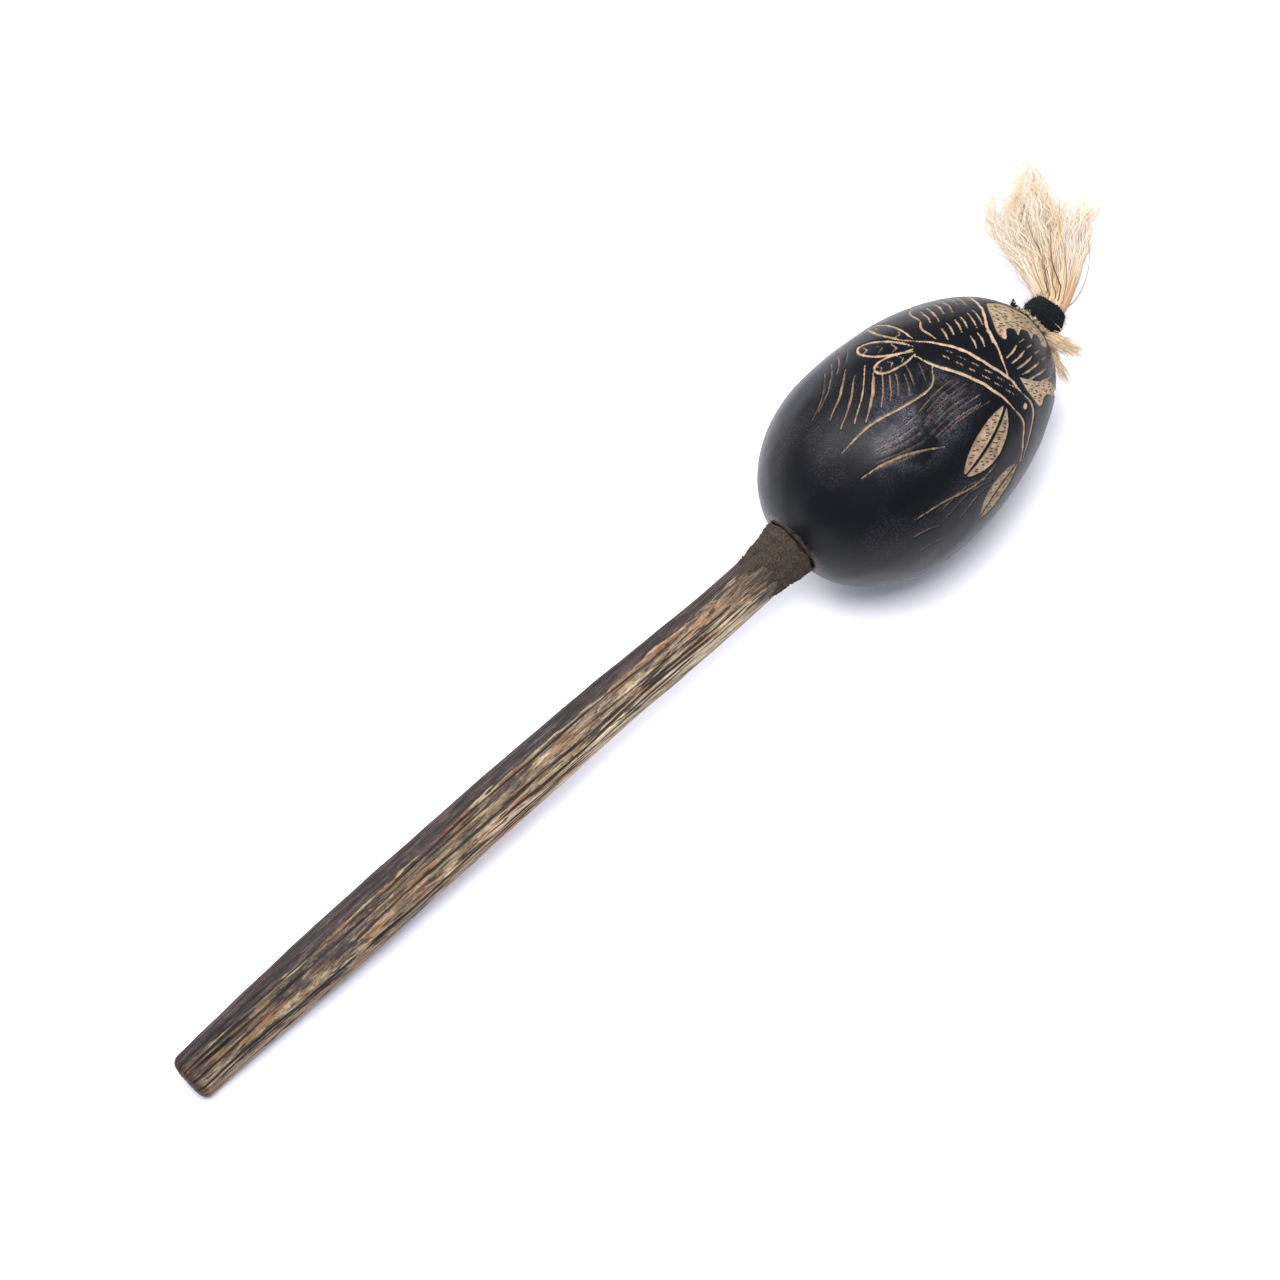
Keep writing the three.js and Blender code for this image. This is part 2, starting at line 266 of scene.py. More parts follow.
def add_piece(name, points, faces, material, body="rattle", node=None, slot=None, **attributes):
    """A smooth-shaded mesh from rattle-frame points and groups of faces, handed to a body."""
    mesh = bpy.data.meshes.new(name)
    corners = np.concatenate([group.ravel() for group in faces])
    sizes = np.concatenate([np.full(len(group), group.shape[1]) for group in faces])
    mesh.vertices.add(len(points))
    mesh.vertices.foreach_set("co", placed(points).astype(np.float32).ravel())
    mesh.loops.add(len(corners))
    mesh.loops.foreach_set("vertex_index", corners.astype(np.int32))
    mesh.polygons.add(len(sizes))
    mesh.polygons.foreach_set("loop_start", np.concatenate([[0], np.cumsum(sizes)[:-1]]).astype(np.int32))
    mesh.update(calc_edges=True)
    mesh.validate()
    for key, values in attributes.items():
        values = np.asarray(values, np.float32)
        if values.ndim == 1:
            mesh.attributes.new(key, "FLOAT", "POINT").data.foreach_set("value", values)
        else:
            colours = np.hstack([values, np.ones((len(values), 1), np.float32)])
            mesh.attributes.new(key, "FLOAT_COLOR", "POINT").data.foreach_set("color", colours.ravel())
    mesh.shade_smooth()
    mesh.materials.append(material)
    piece = bpy.data.objects.new(name, mesh)
    bpy.context.scene.collection.objects.link(piece)
    if body:
        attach(piece, body)
    if node:
        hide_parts(node)
    return piece


# ---------- Material helpers ----------


class Nodes:
    """A material's node tree, built by short calls. A value may be a number, a colour or a node's output."""

    def __init__(self, name):
        self.material = bpy.data.materials.new(name)
        self.material.use_nodes = True
        self.tree = self.material.node_tree
        self.shader = self.tree.nodes["Principled BSDF"]

    def put(self, socket, value):
        if isinstance(value, bpy.types.NodeSocket):
            self.tree.links.new(value, socket)
        else:
            socket.default_value = value

    def add(self, kind, settings=None, **inputs):
        node = self.tree.nodes.new(kind)
        for key, value in (settings or {}).items():
            setattr(node, key, value)
        for key, value in inputs.items():
            self.put(node.inputs[key.replace("_", " ")], value)
        return node

    def set(self, **inputs):
        for key, value in inputs.items():
            self.put(self.shader.inputs[key.replace("_", " ")], value)

    def math(self, operation, result, *others):
        for other in others:
            node = self.add("ShaderNodeMath", {"operation": operation})
            self.put(node.inputs[0], result)
            self.put(node.inputs[1], other)
            result = node.outputs[0]
        return result

    def times(self, *values):
        return self.math("MULTIPLY", *values)

    def plus(self, *values):
        return self.math("ADD", *values)

    def minus(self, value, other):
        return self.math("SUBTRACT", value, other)

    def about_half(self, noise, gain):
        """Noise that lies around 0.5, moved to lie around 0 and scaled."""
        return self.times(self.minus(noise, 0.5), gain)

    def place(self, scale=(1, 1, 1)):
        """Millimetres in the rattle's frame, stretched by scale."""
        where = self.add("ShaderNodeTexCoord").outputs["Object"]
        scale = [1000 * s for s in scale]
        return self.add("ShaderNodeMapping", Vector=where, Rotation=(0, TILT, 0), Scale=scale).outputs[0]

    def noise(self, where, scale, detail=3.0, roughness=0.55, distortion=0.0):
        return self.add("ShaderNodeTexNoise", Vector=where, Scale=scale, Detail=detail, Roughness=roughness,
                        Distortion=distortion).outputs[0]

    def ramp(self, value, low, high, to_low=0.0, to_high=1.0):
        return self.add("ShaderNodeMapRange", {"interpolation_type": "SMOOTHSTEP"}, Value=value, From_Min=low,
                        From_Max=high, To_Min=to_low, To_Max=to_high).outputs[0]

    def colours(self, value, *stops):
        node = self.add("ShaderNodeValToRGB", Fac=value)
        ramp = node.color_ramp
        while len(ramp.elements) < len(stops):
            ramp.elements.new(0.5)
        for element, (at, colour) in zip(ramp.elements, stops):
            element.position = at
            element.color = colour
        return node.outputs[0]

    def mix(self, share, a, b, blend="MIX"):
        node = self.add("ShaderNodeMix", {"data_type": "RGBA", "blend_type": blend})
        self.put(node.inputs["Factor"], share)
        self.put(node.inputs[6], a)
        self.put(node.inputs[7], b)
        return node.outputs[2]

    def stain(self, colour, tint, *shares):
        """A colour with a tint over it, as strong as the product of the shares."""
        return self.mix(self.times(*shares), colour, tint)

    def attribute(self, name, output="Fac"):
        return self.add("ShaderNodeAttribute", {"attribute_name": name}).outputs[output]

    def bump(self, height, distance_mm, strength):
        node = self.add("ShaderNodeBump", Height=height, Distance=distance_mm / 1000, Strength=strength)
        return node.outputs[0]


def srgb(red, green, blue):
    """A linear colour from 8-bit sRGB values."""
    values = np.array([red, green, blue]) / 255
    linear = np.where(values <= 0.04045, values / 12.92, ((values + 0.055) / 1.055) ** 2.4)
    return (*linear, 1.0)


# ---------- Camera, light and floor ----------

VIEW_TURN, VIEW_DROP = math.radians(-43.1), math.radians(68)
VIEW_DISTANCE, VIEW_WIDTH = 1.5, 0.4129  # metres, and the width seen at that distance
AIM_LEFT, AIM_UP, AIM_HEIGHT = 0.0077, 0.0058, 0.020  # the picture's middle, from the row frame's origin
SENSOR = 36  # mm


def view_axes():
    ahead = np.array([-math.sin(VIEW_TURN) * math.cos(VIEW_DROP), math.cos(VIEW_TURN) * math.cos(VIEW_DROP),
                      -math.sin(VIEW_DROP)])
    right = np.array([math.cos(VIEW_TURN), math.sin(VIEW_TURN), 0.0])
    return ahead, right, np.cross(right, ahead)


def add_camera():
    ahead, right, up = view_axes()
    aim = np.array([0, 0, AIM_HEIGHT]) - right * AIM_LEFT + up * AIM_UP
    data = bpy.data.cameras.new("camera")
    data.sensor_width = SENSOR
    data.lens = SENSOR * VIEW_DISTANCE / VIEW_WIDTH
    data.clip_end = 20
    camera = bpy.data.objects.new("camera", data)
    camera.location = aim - ahead * VIEW_DISTANCE
    camera.rotation_euler = Vector(ahead).to_track_quat("-Z", "Y").to_euler()
    bpy.context.scene.collection.objects.link(camera)
    bpy.context.scene.camera = camera


def add_soft_light(name, position, size, watts, colour):
    """A square panel that faces the row frame's origin."""
    data = bpy.data.lights.new(name, "AREA")
    data.size = size
    data.energy = watts
    data.color = colour
    light = bpy.data.objects.new(name, data)
    light.location = position
    light.rotation_euler = (-Vector(position)).to_track_quat("-Z", "Y").to_euler()
    bpy.context.scene.collection.objects.link(light)


def add_lights():
    ahead, right, up = view_axes()
    add_soft_light("ceiling", 1.6 * unit(-ahead + 0.02 * right + 0.34 * up), 0.7, 29, (0.97, 0.96, 1))
    add_soft_light("window", 1.8 * unit(-ahead - 0.9 * right + 0.8 * up), 1.2, 26, (1, 0.99, 1))
    world = bpy.data.worlds.new("room")
    world.use_nodes = True
    sky = world.node_tree.nodes["Background"]
    sky.inputs["Color"].default_value = (0.79, 0.82, 1.0, 1)
    sky.inputs["Strength"].default_value = 0.6
    bpy.context.scene.world = world
    bpy.context.scene.view_settings.view_transform = "Standard"


def add_floor(height):
    bpy.ops.mesh.primitive_plane_add(size=8, location=(0, 0, height))
    floor = bpy.context.object
    floor.name = "floor"
    paper = Nodes("paper")
    paper.set(Base_Color=(0.93, 0.93, 0.94, 1), Roughness=0.9, Specular_IOR_Level=0.1)
    floor.data.materials.append(paper.material)


# ---------- Gourd: its skin ----------

GOURD_ROWS, GOURD_COLUMNS = 232, 414


def gourd_profile():
    """Fine samples of the skin from the mouth to the tip's rim: x, radius, and length along the skin."""
    x = np.concatenate([BELLY_AT - STEM_REACH * np.cos(np.linspace(0.001, math.pi / 2, 1500)),
                        BELLY_AT + TIP_REACH * np.sin(np.linspace(0.0005, math.pi / 2, 1500))])
    stem = np.abs((x - BELLY_AT) / STEM_REACH) ** STEM_FULLNESS
    tip = np.abs((x - BELLY_AT) / TIP_REACH) ** TIP_FULLNESS
    radius = BELLY * np.where(x < BELLY_AT, (1 - stem).clip(0) ** (1 / STEM_FULLNESS),
                              (1 - tip).clip(0) ** (1 / TIP_FULLNESS))
    keep = np.where(x < BELLY_AT, radius >= MOUTH_RADIUS, radius >= RIM_RADIUS)
    x, radius = x[keep], radius[keep]
    gone = np.concatenate([[0], np.cumsum(np.hypot(np.diff(x), np.diff(radius)))])
    return x, radius, gone


SKIN_X, SKIN_RADIUS, SKIN_GONE = gourd_profile()


def facing_angle():
    """Radians around the axis, from straight up towards +y, to the side that faces the camera."""
    ahead = BASIS @ view_axes()[0]
    return math.atan2(-ahead[1], -ahead[2])


FACING = facing_angle()


def round_gourd(x, radius, turn):
    """Points round the gourd's axis. turn is in degrees from the side that faces the camera."""
    angle = FACING + np.radians(turn)
    return np.stack([x + 0 * angle, radius * np.sin(angle), radius * np.cos(angle)], -1)


def skin_point(x, turn):
    return round_gourd(x, np.interp(x, SKIN_X, SKIN_RADIUS), turn)


# A grid on the skin. Its columns are closer together on the camera's side, where the carving is finest.
COLUMN_SHARE = np.linspace(0, 1, GOURD_COLUMNS + 1)
COLUMN_TURN = 360 * COLUMN_SHARE - 180 + np.degrees(0.24 * np.sin(2 * math.pi * COLUMN_SHARE))

row_gone = np.linspace(0, SKIN_GONE[-1], GOURD_ROWS)
ROW_X = np.interp(row_gone, SKIN_GONE, SKIN_X)
ROW_RADIUS = np.interp(row_gone, SKIN_GONE, SKIN_RADIUS)
SKIN = skin_point(ROW_X[:, None], COLUMN_TURN[None, :-1])

# ---------- Gourd: carving ----------

FAR = 3.0
FINEST = 0.52  # the narrowest stroke that the grid can hold, in mm
carved = np.full(SKIN.shape[:2], FAR)  # distance outside the nearest cut, in mm, negative inside it
patched = np.full(SKIN.shape[:2], FAR)  # the same for the scraped and stippled patches alone
shade = np.full(SKIN.shape[:2], 0.5)  # how pale the nearest cut is
carving = np.random.default_rng(11)


def window(xs, turns, reach):
    """Rows and columns of the grid within reach of points on the skin."""
    gone = np.interp(xs, SKIN_X, SKIN_GONE)
    rows = np.arange(max(0, int((gone.min() - reach) / row_gone[1])),
                     min(GOURD_ROWS, int((gone.max() + reach) / row_gone[1]) + 2))
    radius = max(np.interp(xs, SKIN_X, SKIN_RADIUS).min() - reach, 3.0)
    spread = math.degrees(reach / radius)
    low = np.searchsorted(COLUMN_TURN, wrapped(turns.min() - spread))
    width = (turns.max() - turns.min() + 2 * spread) / 360 * GOURD_COLUMNS * 1.35 + 3
    columns = (low - 1 + np.arange(min(GOURD_COLUMNS, int(width)))) % GOURD_COLUMNS
    return np.ix_(rows, columns)


def beside(near, start, finish):
    """How far the grid's points are from a straight run, and how far along it each one's nearest place is."""
    run = finish - start
    offset = SKIN[near] - start
    share = np.clip(offset @ run / max(run @ run, 1e-9), 0, 1)
    return np.linalg.norm(offset - share[..., None] * run, axis=-1), share


def mark(near, gap, pale):
    """Notes a cut in the grid wherever no cut before it is closer."""
    closer = gap < carved[near]
    carved[near] = np.where(closer, gap, carved[near])
    shade[near] = np.where(closer & (gap < 0.4), pale, shade[near])


def cut_line(points, width, pale=0.6, taper=0.3, end=0.35, wander=0.08):
    """Carves a stroke through (x, turn) points. It is width wide and thins to end of that over its tapers."""
    points = np.asarray(points, float)
    length = np.linalg.norm(np.diff(skin_point(points[:, 0], points[:, 1]), axis=0), axis=1).sum()
    steps = max(3, int(length / 1.1))
    path = through(points, steps)
    along = np.linspace(0, 1, steps + 1)
    path[:, 0] += wander * ripple(along[:, None] * length, carving.integers(1 << 30), 7, 5)
    thin = np.minimum(along, 1 - along) / taper
    half = width / 2 * (end + (1 - end) * np.sqrt(np.clip(thin, 0, 1)))
    half *= 1 + 0.13 * ripple(along[:, None] * length, carving.integers(1 << 30), 4, 5)
    half = np.maximum(half, FINEST / 2)
    spots = skin_point(path[:, 0], path[:, 1])
    for i in range(steps):
        near = window(path[i : i + 2, 0], path[i : i + 2, 1], 1.6 + half[i])
        gap, share = beside(near, spots[i], spots[i + 1])
        mark(near, gap - lerp(half[i], half[i + 1], share), pale)


def inside(xs, turns, outline):
    """Which (x, turn) points lie inside a closed outline."""
    result = np.zeros(np.broadcast(xs, turns).shape, bool)
    for (x0, t0), (x1, t1) in zip(outline, np.roll(outline, -1, axis=0)):
        crosses = (t0 > turns) != (t1 > turns)
        reach = (x1 - x0) * (turns - t0) / (t1 - t0 + 1e-12) + x0
        result ^= crosses & (xs < reach)
    return result


def scrape_patch(points, pale=0.5):
    """Scrapes the skin off inside a smooth closed outline through (x, turn) points."""
    outline = np.asarray(points, float)
    outline = through(np.vstack([outline, outline[:1]]), 14 * len(points))[:-1]
    near = window(outline[:, 0], outline[:, 1], 2.5)
    within = inside(ROW_X[near[0]], wrapped(COLUMN_TURN[near[1]], outline[:, 1].mean()), outline)
    spots = skin_point(outline[:, 0], outline[:, 1])
    gap = np.full(within.shape, 99.0)
    for a, b in zip(spots, np.roll(spots, -1, axis=0)):
        gap = np.minimum(gap, beside(near, a, b)[0])
    gap = np.clip(np.where(within, -gap, gap), -FAR, FAR)
    mark(near, gap, pale)
    patched[near] = np.minimum(patched[near], gap)


def face(*points):
    """(x, side) points as the camera sees them, side in mm across the axis, as (x, turn) points."""
    points = np.asarray(points, float)
    radius = np.interp(points[:, 0], SKIN_X, SKIN_RADIUS)
    return np.stack([points[:, 0], np.degrees(np.arcsin(np.clip(points[:, 1] / radius, -1, 1)))], 1)


def hatch(start, finish, count, width, bow=0.0, pale=0.45, uneven=0.12, seen=True):
    """A set of strokes side by side. start and finish are the first and last stroke's two ends."""
    (a0, a1), (b0, b1) = np.asarray(start, float), np.asarray(finish, float)
    for i in range(count):
        share = (i + carving.uniform(-0.25, 0.25)) / max(count - 1, 1)
        one, two = lerp(a0, b0, share), lerp(a1, b1, share)
        run = two - one
        one = one + run * carving.uniform(-uneven, uneven)
        two = two + run * carving.uniform(-uneven, uneven)
        middle = (one + two) / 2 + bow * quarter_turn(run)
        points = (one, middle, two)
        cut_line(face(*points) if seen else points, width * carving.uniform(0.75, 1.2),
                 pale + carving.uniform(-0.15, 0.15), taper=0.45, end=0.25)


def carve_feather(root, tip, width, line=0.8, pale=0.6, barbs=0):
    """A long feather as the camera sees it: two edges that meet at a round tip, with slanting barbs."""
    root, tip = np.array(root, float), np.array(tip, float)
    run = tip - root
    over = quarter_turn(run) / np.linalg.norm(run)
    edge = [(0.0, 0.1), (0.35, 0.42), (0.75, 0.5), (0.97, 0.3), (1.03, 0), (0.97, -0.3), (0.75, -0.5),
            (0.35, -0.42), (0.0, -0.1)]
    cut_line(face(*[root + run * a + over * width * b for a, b in edge]), line, pale, taper=0.12, end=0.5)
    for k in range(barbs):
        base = root + run * (0.3 + 0.55 * k / (barbs - 1))
        for side in (1, -1):
            cut_line(face(base, base + run * 0.1 + side * over * width * 0.26), 0.5, pale - 0.2)


def carve_bird():
    """A plain hovering bird with a long bill: back and belly, three tail feathers and two open wings."""
    line = 1.12
    cut_line(face((69, 22), (73.4, 16.5), (78, 9), (81, 0), (83.5, -8), (83.8, -14.5)), line, 0.75)
    cut_line(face((65, 18.6), (67, 12), (71, 5), (74.6, -2.5), (77, -10), (78, -16)), line, 0.75)
    carve_feather((67, 20.5), (55.5, 31.5), 5.4, 0.95, 0.7, 3)
    carve_feather((66, 19), (53, 23.2), 4.6, 0.9, 0.6, 3)
    carve_feather((69, 22.5), (65.5, 34.4), 4.6, 0.9, 0.6, 2)
    # the raised wing: a leading edge, rows of quills, and round quill tips
    cut_line(face((83.4, -7.2), (87.6, 1.6), (90.4, 9), (95.6, 15.6), (98.6, 23.4)), line, 0.75)
    quills = (((80, 27.6), (95, 25.4), 6, 6.2, 0.6), ((78.8, 19.4), (92.6, 16.6), 6, 5.6, 0.66),
              ((83.4, 11), (89.6, 8.8), 3, 5.2, 0.7))
    for first, last, count, reach, pale in quills:
        for k in range(count):
            root = between(first, last, k / (count - 1)) + carving.uniform(-0.3, 0.3, 2)
            run = np.array([-0.36, -0.93]) * reach * carving.uniform(0.8, 1.15)
            cut_line(face(root, root + run * 0.5 + [0.25, -0.25], root + run), 0.82, pale, taper=0.4)
    tips = [(74.6, 17.6), (76.4, 25), (80.6, 30), (86.4, 31.4), (92, 29.4), (96.6, 26)]
    for one, two in zip(tips, tips[1:]):
        middle = (np.array(one) + two) / 2 + [-1.2, 1.7]
        cut_line(face(one, middle, two), 0.85, 0.6, taper=0.2, end=0.5)
    # the spread wing: round quill tips against a stippled ground
    scrape_patch(face((98.6, 15.2), (103.6, 11), (106.8, 3.5), (106.6, -4.4), (104.4, -8.2), (102.4, -7),
                      (103.5, -4.4), (102.4, -2.6), (100.2, -3.4), (101.2, -0.6), (99.6, 1.3), (97, 0.4),
                      (97.7, 3), (95.6, 4.6), (92.6, 2.2), (91.7, 5.6), (94.6, 10.4)), 0.6)
    for k in range(6):
        root, tip = between([87.6, -2.2], [88.6, -14.5], k / 5), between([93.8, -1.4], [98.6, -16.4], k / 5)
        cut_line(face(root, (root + tip) / 2 + [0.4, -0.3], tip), 0.78, 0.68)
        cut_line(face(tip + [1.6, 0.1], tip + [4.0, -0.2]), 0.62, 0.5)
    scrape_patch(face((86.6, -9.4), (90.4, -13.6), (96.4, -17.6), (98.8, -21.4), (92.6, -19.9), (87.4, -21.2),
                      (86, -15.4)), 0.65)
    # barbs on the body, the eye, and a long bill
    for k in range(6):
        root = between([71.4, 12.6], [79.8, -9.4], k / 5)
        cut_line(face(root, root + [1.3, -2.9]), 0.66, 0.5)
        cut_line(face(root + [2.2, 0.6], root + [3.4, -2]), 0.66, 0.45)
    cut_line(face((82.2, -17.5), (81.8, -17.7)), 1.7, 0.8, end=0.95)
    cut_line(face((83.8, -14.4), (84.6, -18), (82.4, -22), (77, -26.4), (71, -30.4)), 0.95, 0.7)
    cut_line(face((78, -15.8), (78.2, -20.6), (75, -25), (70.6, -30)), 0.95, 0.65)


def carve_blade(root, tip, width, side=0.0):
    """A stippled leaf as the camera sees it, scraped in two halves so that a dark midrib is left."""
    root, tip = np.array(root, float), np.array(tip, float)
    run = tip - root
    over = quarter_turn(run) / np.linalg.norm(run)
    half = [(0.03, 0.1), (0.25, 0.75), (0.55, 1.0), (0.82, 0.72), (0.99, 0.1), (0.8, 0.09), (0.5, 0.1),
            (0.2, 0.09)]
    for edge in (-1, 1):
        scrape_patch(face(*[root + run * a + over * (width / 2 * b * edge + side * a * (1 - a) * 4)
                            for a, b in half]), 0.5)


def carve_leaves():
    """Leaves round the bird on the camera's side: stippled blades, a long vein and hatched shading."""
    carve_blade((77, -12.6), (50.5, -21), 9.4, 1.6)
    carve_blade((70, -29.4), (48.6, -34.2), 4.8, -0.5)
    scrape_patch(face((96, -22.6), (88.6, -27), (80.6, -31.4), (73, -34.2), (72.4, -36.4), (84, -36),
                      (97, -30), (100.5, -23)), 0.4)
    cut_line(face((66.4, 12), (61, 7.4), (50, 8.6), (38, 11.4), (25.6, 11)), 0.85, 0.5)
    hatch(((43.5, 33.6), (26.5, 24.4)), ((46, 33), (32.6, 26.6)), 2, 0.6, 0.04, 0.2)
    hatch(((47.4, 29.6), (30.6, 20.6)), ((52.6, 24.4), (36.6, 12.8)), 4, 0.8, 0.03, 0.5)
    hatch(((51, 22), (42, 15)), ((58.4, 17), (54, 10.4)), 5, 0.6, 0.03, 0.2)
    hatch(((60, 18), (56.4, 10.6)), ((64, 16), (61, 10)), 2, 0.6, 0.03, 0.15)
    hatch(((68, 5), (53, 4.4)), ((71.5, -9), (50, -6.6)), 8, 0.55, -0.04, 0.08)
    hatch(((50, 3.4), (36, 5.6)), ((47, -6), (32, -0.4)), 5, 0.55, 0.03, 0.16)
    cut_line(face((51, -9.6), (42, -4.2), (33, -0.6), (24.5, 1)), 0.8, 0.42)
    cut_line(face((62, -24.8), (52, -25.4), (40, -22.4), (29, -20.2)), 0.75, 0.42)
    hatch(((60, -27.4), (38, -24)), ((63, -30.4), (40, -29.6)), 3, 0.55, -0.08, 0.14)
    hatch(((36, -27.4), (27, -24.4)), ((34, -31), (26, -29)), 2, 0.55, -0.04, 0.1)
    hatch(((48, 34.8), (42.5, 31)), ((54, 34.6), (48.6, 31.4)), 3, 0.6, 0.04, 0.3)


def carve_flower(x, turn, size, petals, spin=0.0):
    """An open flower on the far side: stippled petals with a midline each, round a hatched eye."""
    wide = math.degrees(1 / np.interp(x, SKIN_X, SKIN_RADIUS))
    for k in range(petals):
        heading = 2 * math.pi * k / petals + spin
        out = np.array([math.cos(heading), math.sin(heading)])
        over = np.array([-out[1], out[0]])
        blade = [(0.3, 0.0), (0.55, 0.22), (0.85, 0.24), (1.06, 0.0), (0.85, -0.24), (0.55, -0.22)]
        outline = [(out * a + over * b) * size for a, b in blade]
        scrape_patch([(x + u, turn + v * wide) for u, v in outline], 0.5)
        rib = [(out * a) * size for a in (1.16, 1.3, 1.46)]
        cut_line([(x + u, turn + v * wide) for u, v in rib], 0.9, 0.6)
    for k in range(9):
        heading = 2 * math.pi * k / 9
        reach = [(math.cos(heading) * a * size, math.sin(heading) * a * size) for a in (0.06, 0.2)]
        cut_line([(x + u, turn + v * wide) for u, v in reach], 0.8, 0.65)


def carve_sprig(start, finish, bend, leaves, size):
    """A stalk with paired leaves, drawn as contour and vein strokes, between (x, turn) points."""
    start, finish = np.array(start, float), np.array(finish, float)
    run = finish - start
    stalk = through([start, (start + finish) / 2 + bend * quarter_turn(run), finish], 24)
    cut_line(stalk[::3], 1.05, 0.6)
    leaf = ((0, 0), (0.4, 0.2), (0.75, 0.16), (1, 0))
    for k in range(leaves):
        base = stalk[3 + (20 * k) // leaves]
        ahead = unit(stalk[5 + (18 * k) // leaves] - stalk[2 + (18 * k) // leaves])
        wide = math.degrees(1 / np.interp(base[0], SKIN_X, SKIN_RADIUS))
        for side in (-1, 1):
            angle = math.atan2(ahead[1] / wide, ahead[0]) + side * 0.85
            out = np.array([math.cos(angle), math.sin(angle) * wide])
            over = np.array([-math.sin(angle), math.cos(angle) * wide])
            for edge in (-1, 1):
                line = [base + size * (out * a + over * edge * b) for a, b in leaf]
                cut_line(line, 0.8, 0.55, taper=0.15, end=0.6)
            for a in (0.3, 0.45, 0.6, 0.75):
                cut_line([base + size * (out * a), base + size * (out * (a + 0.12) + over * 0.1)], 0.55, 0.4)


def carve_gourd():
    carve_bird()
    carve_leaves()
    carve_flower(52, 135, 12.5, 6, 0.3)
    carve_flower(70, 232, 10.5, 5, 0.9)
    carve_sprig((18, 168), (92, 182), 0.12, 6, 13)
    carve_sprig((20, 262), (50, 250), -0.1, 3, 11)
    carve_sprig((58, 96), (100, 110), -0.15, 3, 10)
    hatch(((26, 118), (38, 102)), ((30, 150), (41, 146)), 7, 0.8, 0.04, 0.5, seen=False)
    hatch(((44, 196), (30, 204)), ((46, 226), (30, 228)), 6, 0.8, 0.04, 0.5, seen=False)
    hatch(((94, 215), (103, 225)), ((94, 262), (102, 262)), 7, 0.8, 0.04, 0.6, seen=False)


def gourd_material():
    n = Nodes("gourd_skin")
    mm = n.place()
    along, around = n.attribute("along"), n.attribute("around")
    grain = n.noise(mm, 2.2, 4)

    # nearly black lacquer, flecked where it is rubbed
    skin = n.colours(n.noise(mm, 0.05, 3), (0.3, srgb(4, 8, 10)), (0.7, srgb(11, 11, 14)))
    grit = n.ramp(n.noise(mm, 2.6, 3, 0.7), 0.53, 0.66)
    rubbed = n.ramp(n.noise(mm, 0.045, 2), 0.46, 0.6)
    skin = n.stain(skin, srgb(84, 78, 84), grit, rubbed, 0.42)

    # a painted highlight on the camera's side of the belly, where it is widest, over a dull, dusty patch worn
    # by the hand: grainy lavender grey
    far_along = n.math("DIVIDE", n.minus(along, 63.0), 25.0)
    far_around = n.math("DIVIDE", n.minus(around, 3.0), 19.0)
    far = n.plus(n.times(far_along, far_along), n.times(far_around, far_around))
    worn_highlight = n.times(n.ramp(far, 0.0, 1.0, 1, 0), n.ramp(n.noise(mm, 0.12, 3), 0.36, 0.6))
    dust_and_highlight_grain = n.ramp(n.noise(mm, 1.9, 4, 0.75), 0.42, 0.62)
    skin = n.stain(skin, srgb(108, 106, 116), worn_highlight, dust_and_highlight_grain, 0.5)

    # resin smeared round the mouth
    smear = n.plus(along, n.times(n.noise(mm, 0.45, 5, 0.65), 16.0))
    skin = n.stain(skin, srgb(76, 66, 58), n.ramp(smear, 9.0, 12.5, 1, 0), 0.75)

    # bare wood in the cuts: mottled, rosy in places, scorched at the edges
    depth = n.plus(n.attribute("carved"), n.about_half(n.noise(mm, 1.4, 3), 0.4))
    cut = n.ramp(depth, -0.16, 0.04, 1, 0)
    pale = n.plus(n.attribute("shade"), n.about_half(n.noise(mm, 0.45, 5), 0.9))
    wood = n.colours(pale, (0.02, srgb(54, 46, 37)), (0.3, srgb(98, 84, 64)), (0.55, srgb(148, 129, 99)),
                     (0.85, srgb(188, 165, 135)))
    wood = n.stain(wood, srgb(180, 142, 124), n.ramp(n.noise(mm, 0.12, 2), 0.5, 0.66), 0.4)
    wood = n.stain(wood, srgb(84, 62, 48), n.ramp(depth, -0.45, -0.05), 0.3)

    # the patches' stippling: short dark dashes that all lean one way
    flat = n.add("ShaderNodeCombineXYZ", X=along, Y=around).outputs[0]
    leaning = n.add("ShaderNodeMapping", Vector=flat, Rotation=(0, 0, 0.75)).outputs[0]
    drawn = n.add("ShaderNodeMapping", Vector=leaning, Scale=(0.4, 1.0, 1)).outputs[0]
    dots = n.add("ShaderNodeTexVoronoi", {"voronoi_dimensions": "2D"}, Vector=drawn, Scale=0.92)
    dash = n.ramp(n.plus(dots.outputs["Distance"], n.times(n.noise(mm, 2.0, 2), 0.2)), 0.31, 0.37, 1, 0)
    dash = n.times(dash, n.ramp(n.attribute("patched"), -0.75, -0.45, 1, 0))
    wood = n.stain(wood, srgb(58, 42, 34), dash, 0.9)

    roughness = n.mix(cut, n.ramp(grain, 0.3, 0.7, 0.3, 0.42), n.ramp(grain, 0.3, 0.7, 0.78, 0.9))
    relief = n.minus(n.times(grain, 0.25), n.times(dash, 0.9))
    n.set(Base_Color=n.mix(cut, skin, wood), Roughness=roughness,
          Specular_IOR_Level=n.ramp(cut, 0, 1, 0.15, 0.3), Normal=n.bump(relief, 0.12, 0.6))
    return n.material


LINE_DEPTH, PATCH_DEPTH = 0.42, 0.3  # how deep the strokes and the patches are cut, in mm
INNER_STEP, INNER_ROWS = 6, 26  # the inside is coarser: it has a column for every six outside


